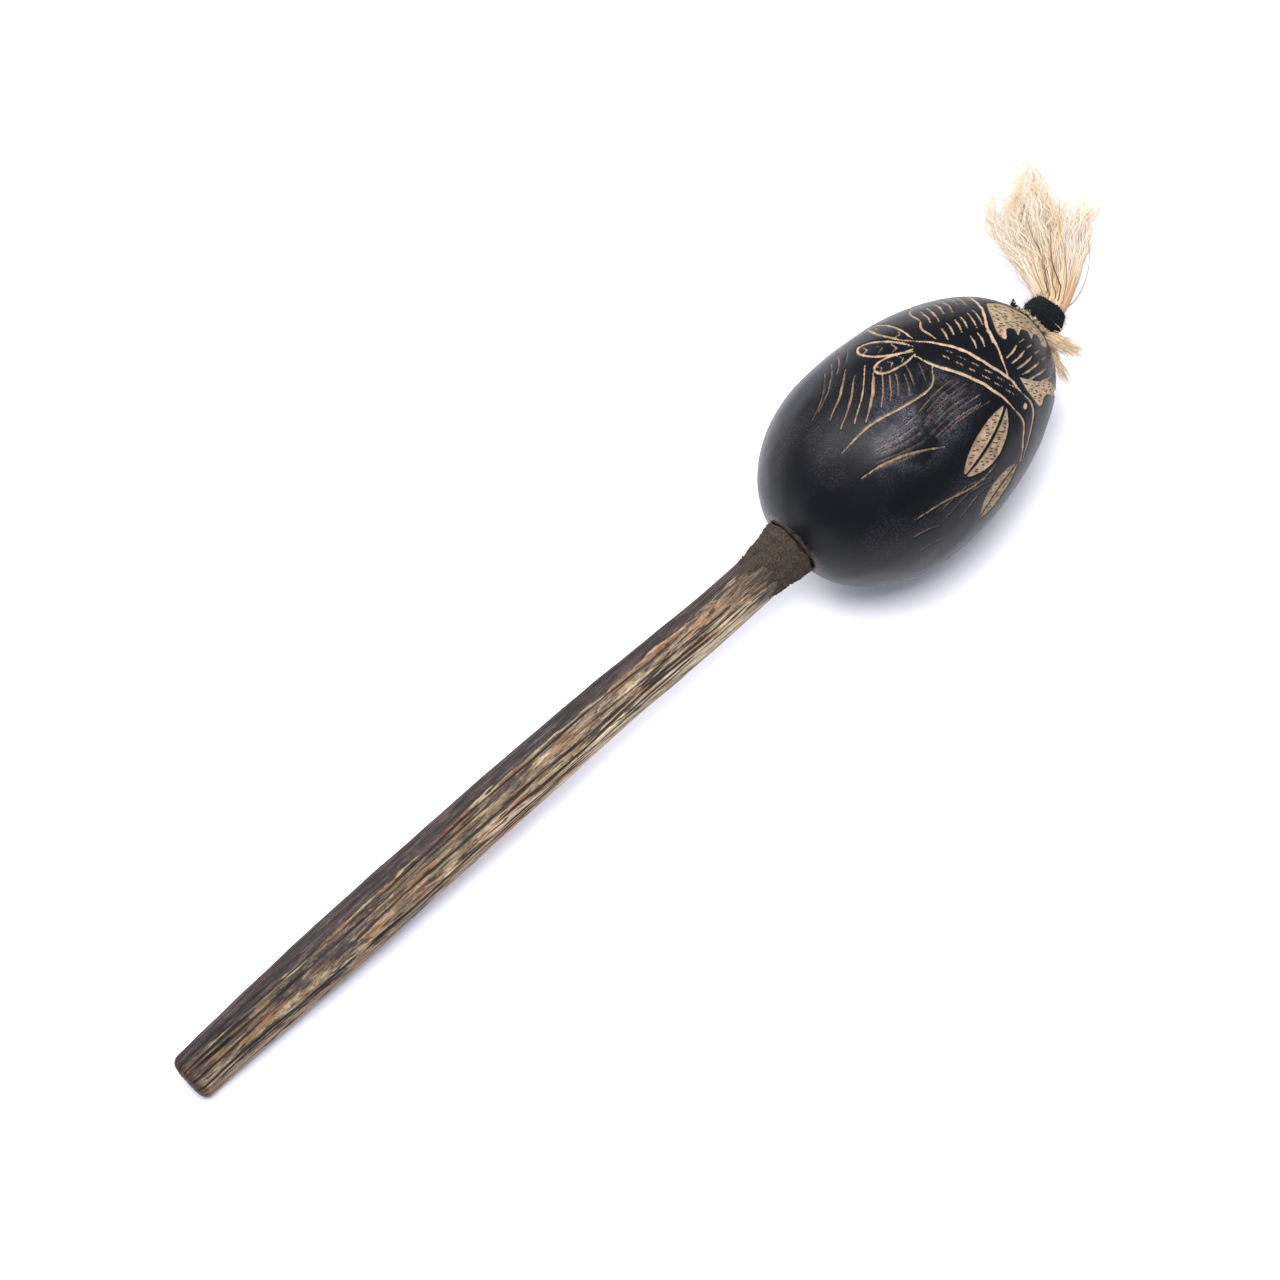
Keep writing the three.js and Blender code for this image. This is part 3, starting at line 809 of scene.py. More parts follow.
def stitch_faces(outer_start, inner_start, columns):
    """Triangles between a ring of the skin and a ring of the coarser inside."""
    triangles = []
    for j in range(columns):
        here, after = inner_start + j, inner_start + (j + 1) % columns
        ring = [outer_start + (INNER_STEP * j + k) % GOURD_COLUMNS for k in range(INNER_STEP + 1)]
        for k in range(INNER_STEP):
            triangles.append((ring[k], ring[k + 1], here if k < INNER_STEP // 2 else after))
        triangles.append((here, ring[INNER_STEP // 2], after))
    return np.array(triangles)


def inner_rings():
    """The gourd's inside, from the mouth to the tip hole, clear of both holes' edges."""
    rings = []
    for share in np.linspace(0, 1, INNER_ROWS):
        x = lerp(SKIN_X[0] + 0.9, RIM_AT - 1.4, 0.5 - 0.5 * math.cos(math.pi * share))
        radius = max(np.interp(x, SKIN_X, SKIN_RADIUS) - WALL, MOUTH_HOLE if share < 0.5 else RIM_HOLE)
        rings.append(round_gourd(x, radius if share > 0 else MOUTH_HOLE, COLUMN_TURN[:-1:INNER_STEP]))
    return np.array(rings)


def add_gourd():
    carve_gourd()
    slope = np.interp(ROW_X, SKIN_X, np.gradient(SKIN_RADIUS, SKIN_X))[:, None, None]
    normals = unit(unit(SKIN * [0, 1, 1]) - slope * [1, 0, 0])
    lines = LINE_DEPTH * smoothstep(-carved, -0.15, 0.6)
    floor = PATCH_DEPTH * smoothstep(-patched, 0.0, 0.5)
    chatter = 0.06 * ripple(SKIN, 3, 1.8) * smoothstep(-patched, 0.2, 0.8)
    ends = smoothstep(ROW_X, ROW_X[0], ROW_X[0] + 4) * smoothstep(-ROW_X, -ROW_X[-1], -ROW_X[-1] + 3)
    lumps = (0.16 * ripple(SKIN, 5, 34) + 0.05 * ripple(SKIN, 6, 9)) * ends[:, None]
    skin = SKIN + normals * (lumps - np.maximum(lines, floor) + chatter)[..., None]
    rounding = 0.45 * np.exp(-row_gone / 0.8)[:, None] * (1 + 0.5 * ripple(SKIN, 7, 4))
    skin = skin - normals * rounding[..., None]

    inner = inner_rings()
    rows, columns = inner.shape[:2]
    outer_count, inner_count = GOURD_ROWS * GOURD_COLUMNS, rows * columns
    faces = [grid_faces(GOURD_ROWS, GOURD_COLUMNS), grid_faces(rows, columns, outer_count)[:, ::-1],
             stitch_faces(0, outer_count, columns)[:, ::-1],
             stitch_faces(outer_count - GOURD_COLUMNS, outer_count + inner_count - columns, columns)]

    def with_inside(outer, value):
        return np.append(outer, np.full(inner_count, value))

    points = np.vstack([skin.reshape(-1, 3), inner.reshape(-1, 3)])
    add_piece("gourd_shell_skin", points, faces, gourd_material(), node="gourd_shell", slot="gourd",
              carved=with_inside(carved, FAR), patched=with_inside(patched, FAR),
              shade=with_inside(shade, 0.5),
              along=with_inside(np.repeat(row_gone, GOURD_COLUMNS), 20),
              around=with_inside(np.radians(COLUMN_TURN[:-1]) * ROW_RADIUS[:, None], 0))


# ---------- Palm-wood handle ----------


def stick_section(x):
    """Half width and half thickness of the stick at x, and its middle line's drift to the +y side."""
    gone = -x
    to_swell = smoothstep(gone, COLLAR_LENGTH, STICK_SWELL_AT)
    to_butt = smoothstep(gone, STICK_SWELL_AT, STICK_LENGTH)
    half = lerp(lerp(STICK_NECK, STICK_SWELL, to_swell), STICK_BUTT, to_butt)
    thick = lerp(STICK_NECK, STICK_THICK, smoothstep(gone, COLLAR_LENGTH, COLLAR_LENGTH + 45))
    share = np.clip((gone - COLLAR_LENGTH) / (STICK_LENGTH - COLLAR_LENGTH), 0, 1)
    drift = STICK_DRIFT * share + STICK_BOW * 4 * share * (1 - share) * np.minimum(1, share * 4)
    return half, thick, drift


def stick_material():
    n = Nodes("palm_wood")
    side, from_butt = n.attribute("side"), n.attribute("from_butt")

    def grain(along, across, *noise):
        """Noise drawn out along the stick."""
        return n.noise(n.place((along, across, across)), *noise)

    streak = grain(0.008, 1, 0.8, 4, 0.55, 0.25)
    thread = grain(0.012, 1, 2.6, 3, 0.6)
    fine = grain(0.05, 1, 3.2, 3, 0.6)
    grit = grain(0.5, 1, 1.7, 4, 0.7)
    cloud = grain(0.13, 0.4, 0.7, 4, 0.6)

    # bare fibre: brown in the middle, paler away from the rind and towards the gourd
    mottle = n.plus(n.about_half(streak, 1.3), n.about_half(grit, 0.6), n.about_half(fine, 0.55),
                    n.about_half(cloud, 1.0))
    tone = n.plus(mottle, n.ramp(side, -52, 6, 0.72, 0.36), n.ramp(from_butt, 70, 170, -0.17, 0.07))
    wood = n.colours(tone, (0.1, srgb(44, 36, 31)), (0.3, srgb(80, 65, 52)), (0.48, srgb(112, 96, 75)),
                     (0.66, srgb(150, 132, 105)), (0.9, srgb(194, 178, 150)))

    # ochre, olive, russet and rosy stains, then dark blotches near the butt
    wood = n.stain(wood, srgb(136, 99, 58), n.ramp(grain(0.05, 0.35, 0.75, 4, 0.6), 0.5, 0.62), 0.5)
    wood = n.stain(wood, srgb(98, 93, 72), n.ramp(grain(0.06, 0.4, 0.6, 4, 0.6, 0.5), 0.53, 0.63), 0.5)
    wood = n.stain(wood, srgb(134, 80, 46), n.ramp(grain(0.014, 0.7, 0.75, 3, 0.5, 0.5), 0.58, 0.66), 0.5)
    wood = n.stain(wood, srgb(178, 157, 138), n.ramp(grain(0.03, 0.3, 0.9, 3), 0.54, 0.64),
                   n.ramp(side, -50, 10, 1, 0.2), 0.4)
    low_end = n.times(n.ramp(from_butt, 10, 26), n.ramp(from_butt, 62, 120, 1, 0.25))
    blotch = n.ramp(grain(0.12, 0.32, 0.85, 4, 0.62), 0.54, 0.62)
    wood = n.stain(wood, srgb(50, 50, 43), blotch, low_end, 0.85)
    wood = n.stain(wood, srgb(52, 42, 36), n.ramp(thread, 0.36, 0.43, 0.66, 0))
    wood = n.stain(wood, srgb(200, 182, 150), n.ramp(thread, 0.6, 0.7, 0, 0.35))

    # the dark rind left along one side, with a pale line where it peels
    edge = n.plus(side, n.about_half(streak, 34.0), n.about_half(cloud, 14.0))
    peel = n.times(n.ramp(edge, 26, 29), n.ramp(edge, 30, 34, 1, 0))
    wood = n.stain(wood, srgb(182, 164, 128), peel, n.ramp(grain(0.05, 0.3, 0.8, 3), 0.46, 0.56), 0.55)
    rind = n.colours(n.plus(streak, n.about_half(fine, 0.5), n.about_half(grit, 0.3)),
                     (0.34, srgb(32, 27, 27)), (0.54, srgb(54, 45, 44)), (0.76, srgb(90, 75, 68)))
    wood = n.mix(n.ramp(edge, 31, 34, 0, 0.95), wood, rind)
    wood = n.stain(wood, srgb(38, 30, 27), n.ramp(grain(0.005, 1, 1.4, 2, 0.5), 0.39, 0.43, 0.85, 0))

    # glue soaked in beside the gourd, the butt's dark sawn edge, and the cracks
    soaked = n.ramp(n.plus(from_butt, n.about_half(thread, 60.0), n.about_half(cloud, 26.0)), 232, 243)
    wood = n.stain(wood, srgb(54, 45, 37), soaked, 0.9)
    sawn = n.ramp(n.plus(from_butt, n.about_half(grit, 3.0)), 1.2, 3.6, 0.8, 0)
    wood = n.stain(wood, srgb(58, 34, 30), sawn)
    wood = n.stain(wood, srgb(24, 18, 17), n.ramp(n.attribute("crack"), 0.16, 0.5, 0, 0.94))
    height = n.plus(n.times(thread, 0.5), n.times(streak, 0.5), n.times(fine, 0.2))
    n.set(Base_Color=wood, Roughness=n.ramp(thread, 0.3, 0.7, 0.6, 0.85), Specular_IOR_Level=0.25,
          Normal=n.bump(height, 0.4, 0.8))
    return n.material


STICK_ROWS, STICK_COLUMNS, BUTT_ROWS = 440, 180, 10
BUTT_ROUNDING = 3.3
TENON_END, TENON_TAPER = 30, 2.6


def stick_cracks(x, angle, rng):
    """How deep drying cracks go at the points of the stick's grid, from 0 to 1."""
    front = math.radians(90) - FACING
    long_ones = [(front + math.radians(d), middle, length, 0.4) for d, middle, length in
                 ((20, -110, 200), (47, -140, 200), (33, -70, 110), (-6, -195, 110), (6, -60, 90),
                  (-22, -120, 150), (66, -120, 220))]
    short_ones = [(rng.uniform(0, 2 * math.pi), rng.uniform(-STICK_LENGTH, -20), rng.uniform(18, 75), 0.3)
                  for _ in range(30)]
    butt_ones = [(front + math.radians(d), 2 - STICK_LENGTH, length, 0.5) for d, length in
                 ((38, 150), (14, 96), (-7, 120), (-24, 84), (-46, 110), (84, 90), (130, 110), (175, 80),
                  (222, 120), (264, 90))]
    crack = np.zeros_like(angle)
    for at, middle, length, width in long_ones + short_ones + butt_ones:
        path = at + 0.06 * np.sin(x / rng.uniform(18, 36) + rng.uniform(0, 6)) + 0.03 * np.sin(x / 9 + at * 5)
        apart = np.abs((angle - path[:, None] + math.pi) % (2 * math.pi) - math.pi) * 8
        fade = np.clip(1 - np.abs((x - middle) / (length / 2)) ** 2, 0, 1)[:, None] ** 0.5
        fade = fade * (0.85 + 0.25 * ripple(x[:, None], rng.integers(1 << 30), 21, 6))[:, None]
        crack = np.maximum(crack, np.exp(-((apart / width) ** 2)) * fade * rng.uniform(0.6, 1))
    return crack


def add_handle():
    # rows from the rounded butt to the end of the tenon in the gourd
    butt = -STICK_LENGTH + BUTT_ROUNDING
    bend = np.linspace(0, math.pi / 2, BUTT_ROWS, endpoint=False)
    x = np.concatenate([-STICK_LENGTH + BUTT_ROUNDING * (1 - np.cos(bend)), np.linspace(butt, 4, STICK_ROWS),
                        [12, 20, 29, TENON_END]])
    trim = BUTT_ROUNDING * (1 - np.sqrt(1 - np.clip((butt - x) / BUTT_ROUNDING, 0, 1) ** 2))
    taper = np.where(x > 4, (x - 4) / (TENON_END - 4) * TENON_TAPER, 0)

    # a round neck that soon turns into a squarish, slightly twisted section
    half, thick, drift = stick_section(x)
    turn = ring_angles(STICK_COLUMNS)
    power = lerp(2.0, 3.4, smoothstep(-x, COLLAR_LENGTH, COLLAR_LENGTH + 45))[:, None]
    angle = turn[None] + 0.12 * np.sin(x / 90)[:, None]
    across = np.abs(np.cos(angle) / half[:, None]) ** power
    high = np.abs(np.sin(angle) / thick[:, None]) ** power
    radius = (across + high) ** (-1 / power) - trim[:, None] - taper[:, None]

    # flats left by the knife, long ridges of fibre, and drying cracks
    grip = smoothstep(-x, 6, 40)[:, None] * smoothstep(x, -STICK_LENGTH - 1.5, -STICK_LENGTH + 1)[:, None]
    around = np.stack([np.cos(turn), np.sin(turn)], -1)
    grain = np.concatenate([np.repeat(x[:, None, None] / 26, STICK_COLUMNS, 1),
                            np.repeat(around[None] * 7.5, len(x), 0)], -1)
    relief = 0.16 * ripple(grain, 31, 3.4, 26) + 0.09 * ripple(grain * [1.6, 1, 1], 32, 1.3, 30)
    flats = 0.3 * ripple(grain * [0.35, 1, 1], 33, 9, 12)
    crack = stick_cracks(x, angle, np.random.default_rng(21))
    near_butt = smoothstep(-x, STICK_LENGTH - 40, STICK_LENGTH)[:, None]
    radius = radius + (relief + flats - (0.55 + 0.35 * near_butt) * crack) * grip
    stick = round_axis(x[:, None], radius, angle) + drift[:, None, None] * [0, 1, 0]

    # the sawn butt: rings in to the middle, pitted where the fibres end
    edge = stick[0]
    centre = edge.mean(0)
    disc = np.array([lerp(centre, edge, share) for share in np.linspace(1, 0, 13)[-2:0:-1]])
    disc[..., 0] += 0.14 * ripple(disc[..., 1:], 41, 1.1) - 0.05
    body = np.concatenate([disc, stick])
    rows, count = len(body), len(body) * STICK_COLUMNS
    points = np.vstack([body.reshape(-1, 3), centre + [-0.05, 0, 0], stick[-1].mean(0)])
    faces = [grid_faces(rows, STICK_COLUMNS)[:, ::-1], cap_faces(0, STICK_COLUMNS, count, True),
             cap_faces(count - STICK_COLUMNS, STICK_COLUMNS, count + 1, False)]

    def with_ends(values, disc_value):
        return np.concatenate([np.full(disc[..., 0].size, disc_value), values.ravel(), [0, 0]])

    side = wrapped(90 - math.degrees(FACING) - np.degrees(angle))
    add_piece("palm_wood_stick", points, faces, stick_material(), node="palm_wood_handle", slot="palm_wood",
              crack=with_ends(crack * grip, 0.0), side=with_ends(side, -40.0),
              from_butt=np.append(body[..., 0] + STICK_LENGTH, [0, 0]))


# ---------- Glue ----------


def glue_material(name, dark, middle, light):
    n = Nodes(name)
    mm = n.place()
    grit = n.noise(mm, 1.5, 5, 0.7)
    lumps = n.noise(mm, 0.4, 3)
    colour = n.colours(grit, (0.3, dark), (0.5, middle), (0.7, light))
    colour = n.mix(n.ramp(lumps, 0.3, 0.7, 0.45, 0), colour, dark)
    n.set(Base_Color=colour, Roughness=0.92, Specular_IOR_Level=0.25, Normal=n.bump(grit, 0.5, 0.9))
    return n.material


COLLAR_ROWS, COLLAR_COLUMNS, LINING_STEP = 130, 250, 13


def add_collar():
    x = np.linspace(-COLLAR_LENGTH - 2.5, 0.5, COLLAR_ROWS)[:, None]
    turn = ring_angles(COLLAR_COLUMNS)
    spots = round_axis(x, 8, turn)
    flat = spots * [0, 1, 1]
    radius = lerp(STICK_NECK + 0.35, COLLAR_LIP + 0.1, smoothstep(x, -COLLAR_LENGTH, 2.5) ** 1.5)
    ragged = x + 2.6 * ripple(flat, 51, 7) + 1.9 * ripple(flat, 52, 2.4)
    radius = radius - 1.3 * smoothstep(-ragged + 0.8 * ripple(spots, 58, 1.6), 10.5, 17.5)
    radius = radius + 0.1 * ripple(spots, 53, 1.7, 30) + 0.08 * ripple(spots, 54, 0.8, 30)
    radius = radius + 0.16 * ripple(spots, 55, 5)
    radius = radius - smoothstep(x, -0.4, 0.5) * (1.6 + 0.5 * ripple(flat, 56, 3))
    x = x + 0.4 * ripple(flat, 57, 4) * smoothstep(x, -3, 0)
    outer = round_axis(x, radius, turn)
    inner = round_axis(x[::LINING_STEP], STICK_NECK - 0.9, turn)
    points, faces = closed_rings(np.concatenate([outer, inner[::-1]]))
    stuff = glue_material("sawdust_glue", srgb(28, 24, 20), srgb(58, 50, 40), srgb(94, 80, 62))
    add_piece("collar_glue", points, [faces[:, ::-1]], stuff, node="handle_glue_collar", slot="glue")


GLUE_CRUMBS, FIBRE_STUBS = 110, 130


def glue_ring():
    """A ragged ring of glue on the rim, from its section's corners: radius, and height over the rim."""
    section = [(4.2, 0.0), (6.3, -0.2), (6.7, 0.0), (6.5, 0.45), (5.9, 0.8), (5.0, 0.95), (4.2, 0.9)]
    turn = ring_angles(120)
    rings = []
    for k, (radius, high) in enumerate(section):
        spots = np.stack([5 * np.cos(turn), 5 * np.sin(turn), np.full(len(turn), k * 0.7)], -1)
        radius = radius + 0.35 * ripple(spots, 62, 2.2) * (0 < k < 5)
        high = high + 0.2 + 0.25 * ripple(spots, 63, 1.6) * (k > 2)
        rings.append(round_axis(RIM_AT + high, radius, turn))
    points, faces = closed_rings(np.array(rings))
    return points, [faces]


def glue_crumb(ball, faces, rng):
    """A crumb of glue beside the rim, in one of five clusters."""
    angle = rng.choice([1.0, 2.2, 3.1, 4.2, 5.6]) + rng.normal(0, 0.3)
    out = rng.normal(6.3, 0.75)
    size = rng.uniform(0.16, 0.5) * rng.choice([1, 1, 1.7])
    shape = ball * rng.uniform(0.6, 1.4, 3) * size
    shape = shape * (1 + 0.35 * ripple(ball * 2 + rng.uniform(0, 9, 3), 64, 2.0)[:, None])
    lift = 0.5 + rng.uniform(-0.2, 0.6)
    return shape + round_axis(egg_x(max(out, RIM_RADIUS)) + lift, out, angle), [faces]


def fibre_stub(rng):
    """The path of a cut fibre end that stands out of the glue."""
    angle = rng.uniform(0, 2 * math.pi)
    heading = round_axis(rng.uniform(0.1, 0.9), 1, angle) + [0, rng.normal(0, 0.6), rng.normal(0, 0.6)]
    curl = rng.normal(0, 0.5, 3)
    steps = np.linspace(0, rng.uniform(0.9, 2.6), 5)[:, None]
    return round_axis(RIM_AT + 0.4, 5.6, angle) + unit(heading) * steps + curl * steps**2 * 0.2


def add_tip_glue():
    rng = np.random.default_rng(61)
    ball = icosphere(2)
    points, faces = join([glue_ring()] + [glue_crumb(*ball, rng) for _ in range(GLUE_CRUMBS)])
    stuff = glue_material("tip_glue", srgb(96, 84, 66), srgb(166, 150, 118), srgb(214, 204, 178))
    add_piece("tip_glue_crumbs", points, faces, stuff, node="tip_glue_ring", slot="pale_glue")
    stubs = np.array([fibre_stub(rng) for _ in range(FIBRE_STUBS)])
    points, faces = tubes(stubs, np.tile([0.09, 0.08, 0.07, 0.06, 0.03], (FIBRE_STUBS, 1)))
    tint = np.array([0.72, 0.62, 0.42]) * rng.uniform(0.7, 1.2, (FIBRE_STUBS, 1)).repeat(15, 0)
    add_piece("tip_fibre_stubs", points, faces, fibre_material(), slot="fibre", tint=tint)


# ---------- Yarn ----------


def yarn_material():
    n = Nodes("black_yarn")
    mm = n.place()
    fuzz = n.noise(mm, 5.0, 4, 0.7)
    colour = n.colours(fuzz, (0.3, srgb(7, 10, 12)), (0.7, srgb(21, 28, 31)))
    n.set(Base_Color=colour, Roughness=0.95, Specular_IOR_Level=0.08, Sheen_Weight=0.06, Sheen_Roughness=0.5,
          Normal=n.bump(fuzz, 0.25, 0.7))
    return n.material


def around_binding(out, radius, turn):
    """Points round the binding's axis, out from its base."""
    return on_binding(0) + round_axis(out, radius, turn) @ BINDING_AXES


def binding_radius(out):
    return np.interp(out, [-0.3, 0.4, 1.4, 2.8, 4.4, 6, 7.4, 8.4], [4.6, 6.0, 6.8, 7.05, 7.0, 6.45, 5.7, 4.7])


def plies(centre, yarn, twist_pitch):
    """Two plies twisted round each other along a centre line."""
    length = np.concatenate([[0], np.cumsum(np.linalg.norm(np.diff(centre, axis=0), axis=1))])
    ahead = unit(np.gradient(centre, axis=0))
    side = unit(np.cross(ahead, [0.3, 0.2, 1.0]))
    over = np.cross(ahead, side)
    made = []
    for phase in (0, math.pi):
        turn = length / twist_pitch * 2 * math.pi + phase
        made.append(centre + yarn * 0.45 * (np.cos(turn)[:, None] * side + np.sin(turn)[:, None] * over))
    return np.array(made)


def hairs_from(paths, count, length, rng, radius=0.028):
    """Short stray fibres that stand off a yarn."""
    paths = paths.reshape(-1, *paths.shape[-2:])
    pick = rng.integers(0, len(paths), count)
    at = rng.integers(1, paths.shape[1] - 1, count)
    base = paths[pick, at]
    ahead = unit(paths[pick, at + 1] - paths[pick, at - 1])
    outward = unit(base - on_binding(4) + rng.normal(0, 1.2, (count, 3)))
    heading = unit(outward + ahead * rng.normal(0, 1.1, (count, 1)))
    curl = rng.normal(0, 0.6, (count, 3))
    steps = (np.linspace(0, 1, 6)[None] * (length * rng.uniform(0.35, 1.0, (count, 1))))[..., None]
    lines = base[:, None] + heading[:, None] * steps + curl[:, None] * steps**2 / length
    return tubes(lines, np.tile(radius * np.array([1, 1, 0.9, 0.8, 0.7, 0.4]), (count, 1)))


# Each layer of yarn: where it starts and ends, its turns and how much they slant.
YARN_LAYERS = ((0.2, 7.9, 8, 0.0), (7.6, 0.6, 7, 0.5), (0.9, 7.0, 6, -0.55))
PLY_RADIUS, PLY_APART, PLY_PITCH = 0.37, 0.5, 2.1
HAIRS_PER_LAYER = 750


def add_binding():
    rng = np.random.default_rng(71)
    black = yarn_material()
    layers = []
    for layer, (low, high, turns, slant) in enumerate(YARN_LAYERS):
        t = np.linspace(0, 1, 70 * turns)
        turn = 2 * math.pi * turns * t + layer * 2.0
        out = lerp(low, high, t) + slant * np.sin(turn + layer)
        out = out + 0.14 * ripple(t[:, None] * 40, 72 + layer, 3)
        radius = binding_radius(out) - 0.62 + 0.14 * layer + 0.12 * ripple(t[:, None] * 60, 82 + layer, 4)
        layers.append(plies(around_binding(out, radius, turn), PLY_APART, PLY_PITCH))
    parts = [tubes(strands, np.full(strands.shape[:2], PLY_RADIUS), 6) for strands in layers]

    # a lining behind the turns of yarn, so that nothing shows between them
    out = np.array([0.15, 0.8, 2.4, 4.0, 5.2, 6.0, 6.5, 6.5, 0.15])
    size = np.append(binding_radius(out[:7]) - 0.95, [4.5, 3.9])
    points, faces = closed_rings(around_binding(out[:, None], size[:, None], ring_angles(64)))
    points, faces = join(parts + [(points, [faces[:, ::-1]])])
    add_piece("binding_yarn", points, faces, black, node="yarn_binding", slot="yarn")
    points, faces = join([hairs_from(strands, HAIRS_PER_LAYER, 1.5, rng) for strands in layers])
    add_piece("binding_fuzz", points, faces, black, slot="yarn")
    add_yarn_tail(black, rng)


def add_yarn_tail(black, rng):
    """The cut end of the yarn, teased into loops beside the rim."""
    base = np.array([RIM_AT + 1.0, RIM_RADIUS - 0.6, 0.8])
    t = np.linspace(0, 1, 26)[:, None]
    strands = []
    for k in range(7):
        reach = rng.uniform(2.6, 5.2)
        heading = unit(np.array([rng.uniform(-0.6, 0.15), 1.0, rng.uniform(-0.5, 0.9)]))
        side = unit(np.cross(heading, rng.normal(size=3)))
        loop = base + rng.normal(0, 0.4, 3) + heading * reach * np.sin(t * math.pi * 0.62)
        loop = loop + side * reach * 0.34 * np.sin(t * math.pi * 1.7 + k) + [0.35, 0, 0.5] * t * (1 - t) * 4
        strands.extend(plies(loop, 0.32, 1.7))
    strands = np.array(strands)
    tail = tubes(strands, np.full(strands.shape[:2], 0.22) * np.linspace(1, 0.6, 26), 5)
    points, faces = join([tail, hairs_from(strands, 260, 1.3, rng, 0.03)])
    add_piece("yarn_tail_loops", points, faces, black, node="yarn_tail", slot="yarn")


# ---------- Fibre ----------


def fibre_material():
    if "agave_fibre" in bpy.data.materials:
        return bpy.data.materials["agave_fibre"]
    n = Nodes("agave_fibre")
    share = n.ramp(n.noise(n.place(), 0.9, 3), 0.3, 0.7, 0, 0.35)
    colour = n.mix(share, n.attribute("tint", "Color"), srgb(255, 244, 222), "MULTIPLY")
    n.set(Base_Color=colour, Roughness=0.55, Specular_IOR_Level=0.35, Sheen_Weight=0.15, Sheen_Roughness=0.4)
    return n.material


# The fan's outline: distance out, then its right and left edges and half thickness.
FAN_OUT = np.array([0, 3, 9.2, 17, 26, 33, 39.6, 45, 53])
FAN_RIGHT = np.array([-4.9, -6.6, -9.4, -11.4, -15.2, -17.6, -18.2, -18, -17])
FAN_LEFT = np.array([4.6, 5.6, 7.9, 11.4, 15.2, 16.2, 16.6, 16.8, 16.8])
FAN_THICK = np.array([4.6, 5.4, 6.6, 8.0, 9.2, 9.6, 9.2, 8.6, 7])
# How far the fibres reach at each side place: the ragged top edge, with its peak left of the middle.
TOP_SIDE = np.array([-19, -17, -13, -10.5, -6.5, -4.5, -3, 2.6, 4.6, 7.5, 11, 15, 17, 19])
TOP_REACH = np.array([36, 40, 42, 42, 45, 51, 57, 62, 57, 47, 46, 47, 43, 33])

FAN_PIECES, FAN_FIBRES, FAN_LOCKS, FAN_STEPS = ("low", "mid", "top"), 620, 22, 20
FAN_REACH, FAN_LOWEST = 57.5, -9.5  # no fibre is longer, and none hangs lower


def fibre_tints(side, lock, locks, along, rng):
    """Linear colours along fibres: pale, some straw, darker near the yarn and orange there on the right."""
    count = len(side)
    kinds = rng.uniform(size=count)[:, None]
    base = np.where(kinds < 0.55, srgb(253, 246, 234)[:3],
                    np.where(kinds < 0.85, srgb(246, 231, 203)[:3], srgb(226, 196, 148)[:3]))
    warm = smoothstep(rng.uniform(size=locks)[lock][:, None], 0.55, 1.0)
    base = base * lerp(1.0, np.array([0.97, 0.86, 0.66]), warm) * rng.uniform(0.84, 1.05, (count, 1))
    down = (0.72 * (1 - smoothstep(along, 0.12, 0.55)))[None, :, None]
    orange = smoothstep(-side, 0.3, 0.8)[:, None, None]
    low = lerp(np.array([0.9, 0.76, 0.54]), np.array([0.72, 0.47, 0.24]), orange)
    return base[:, None] * lerp(1.0, low, down)


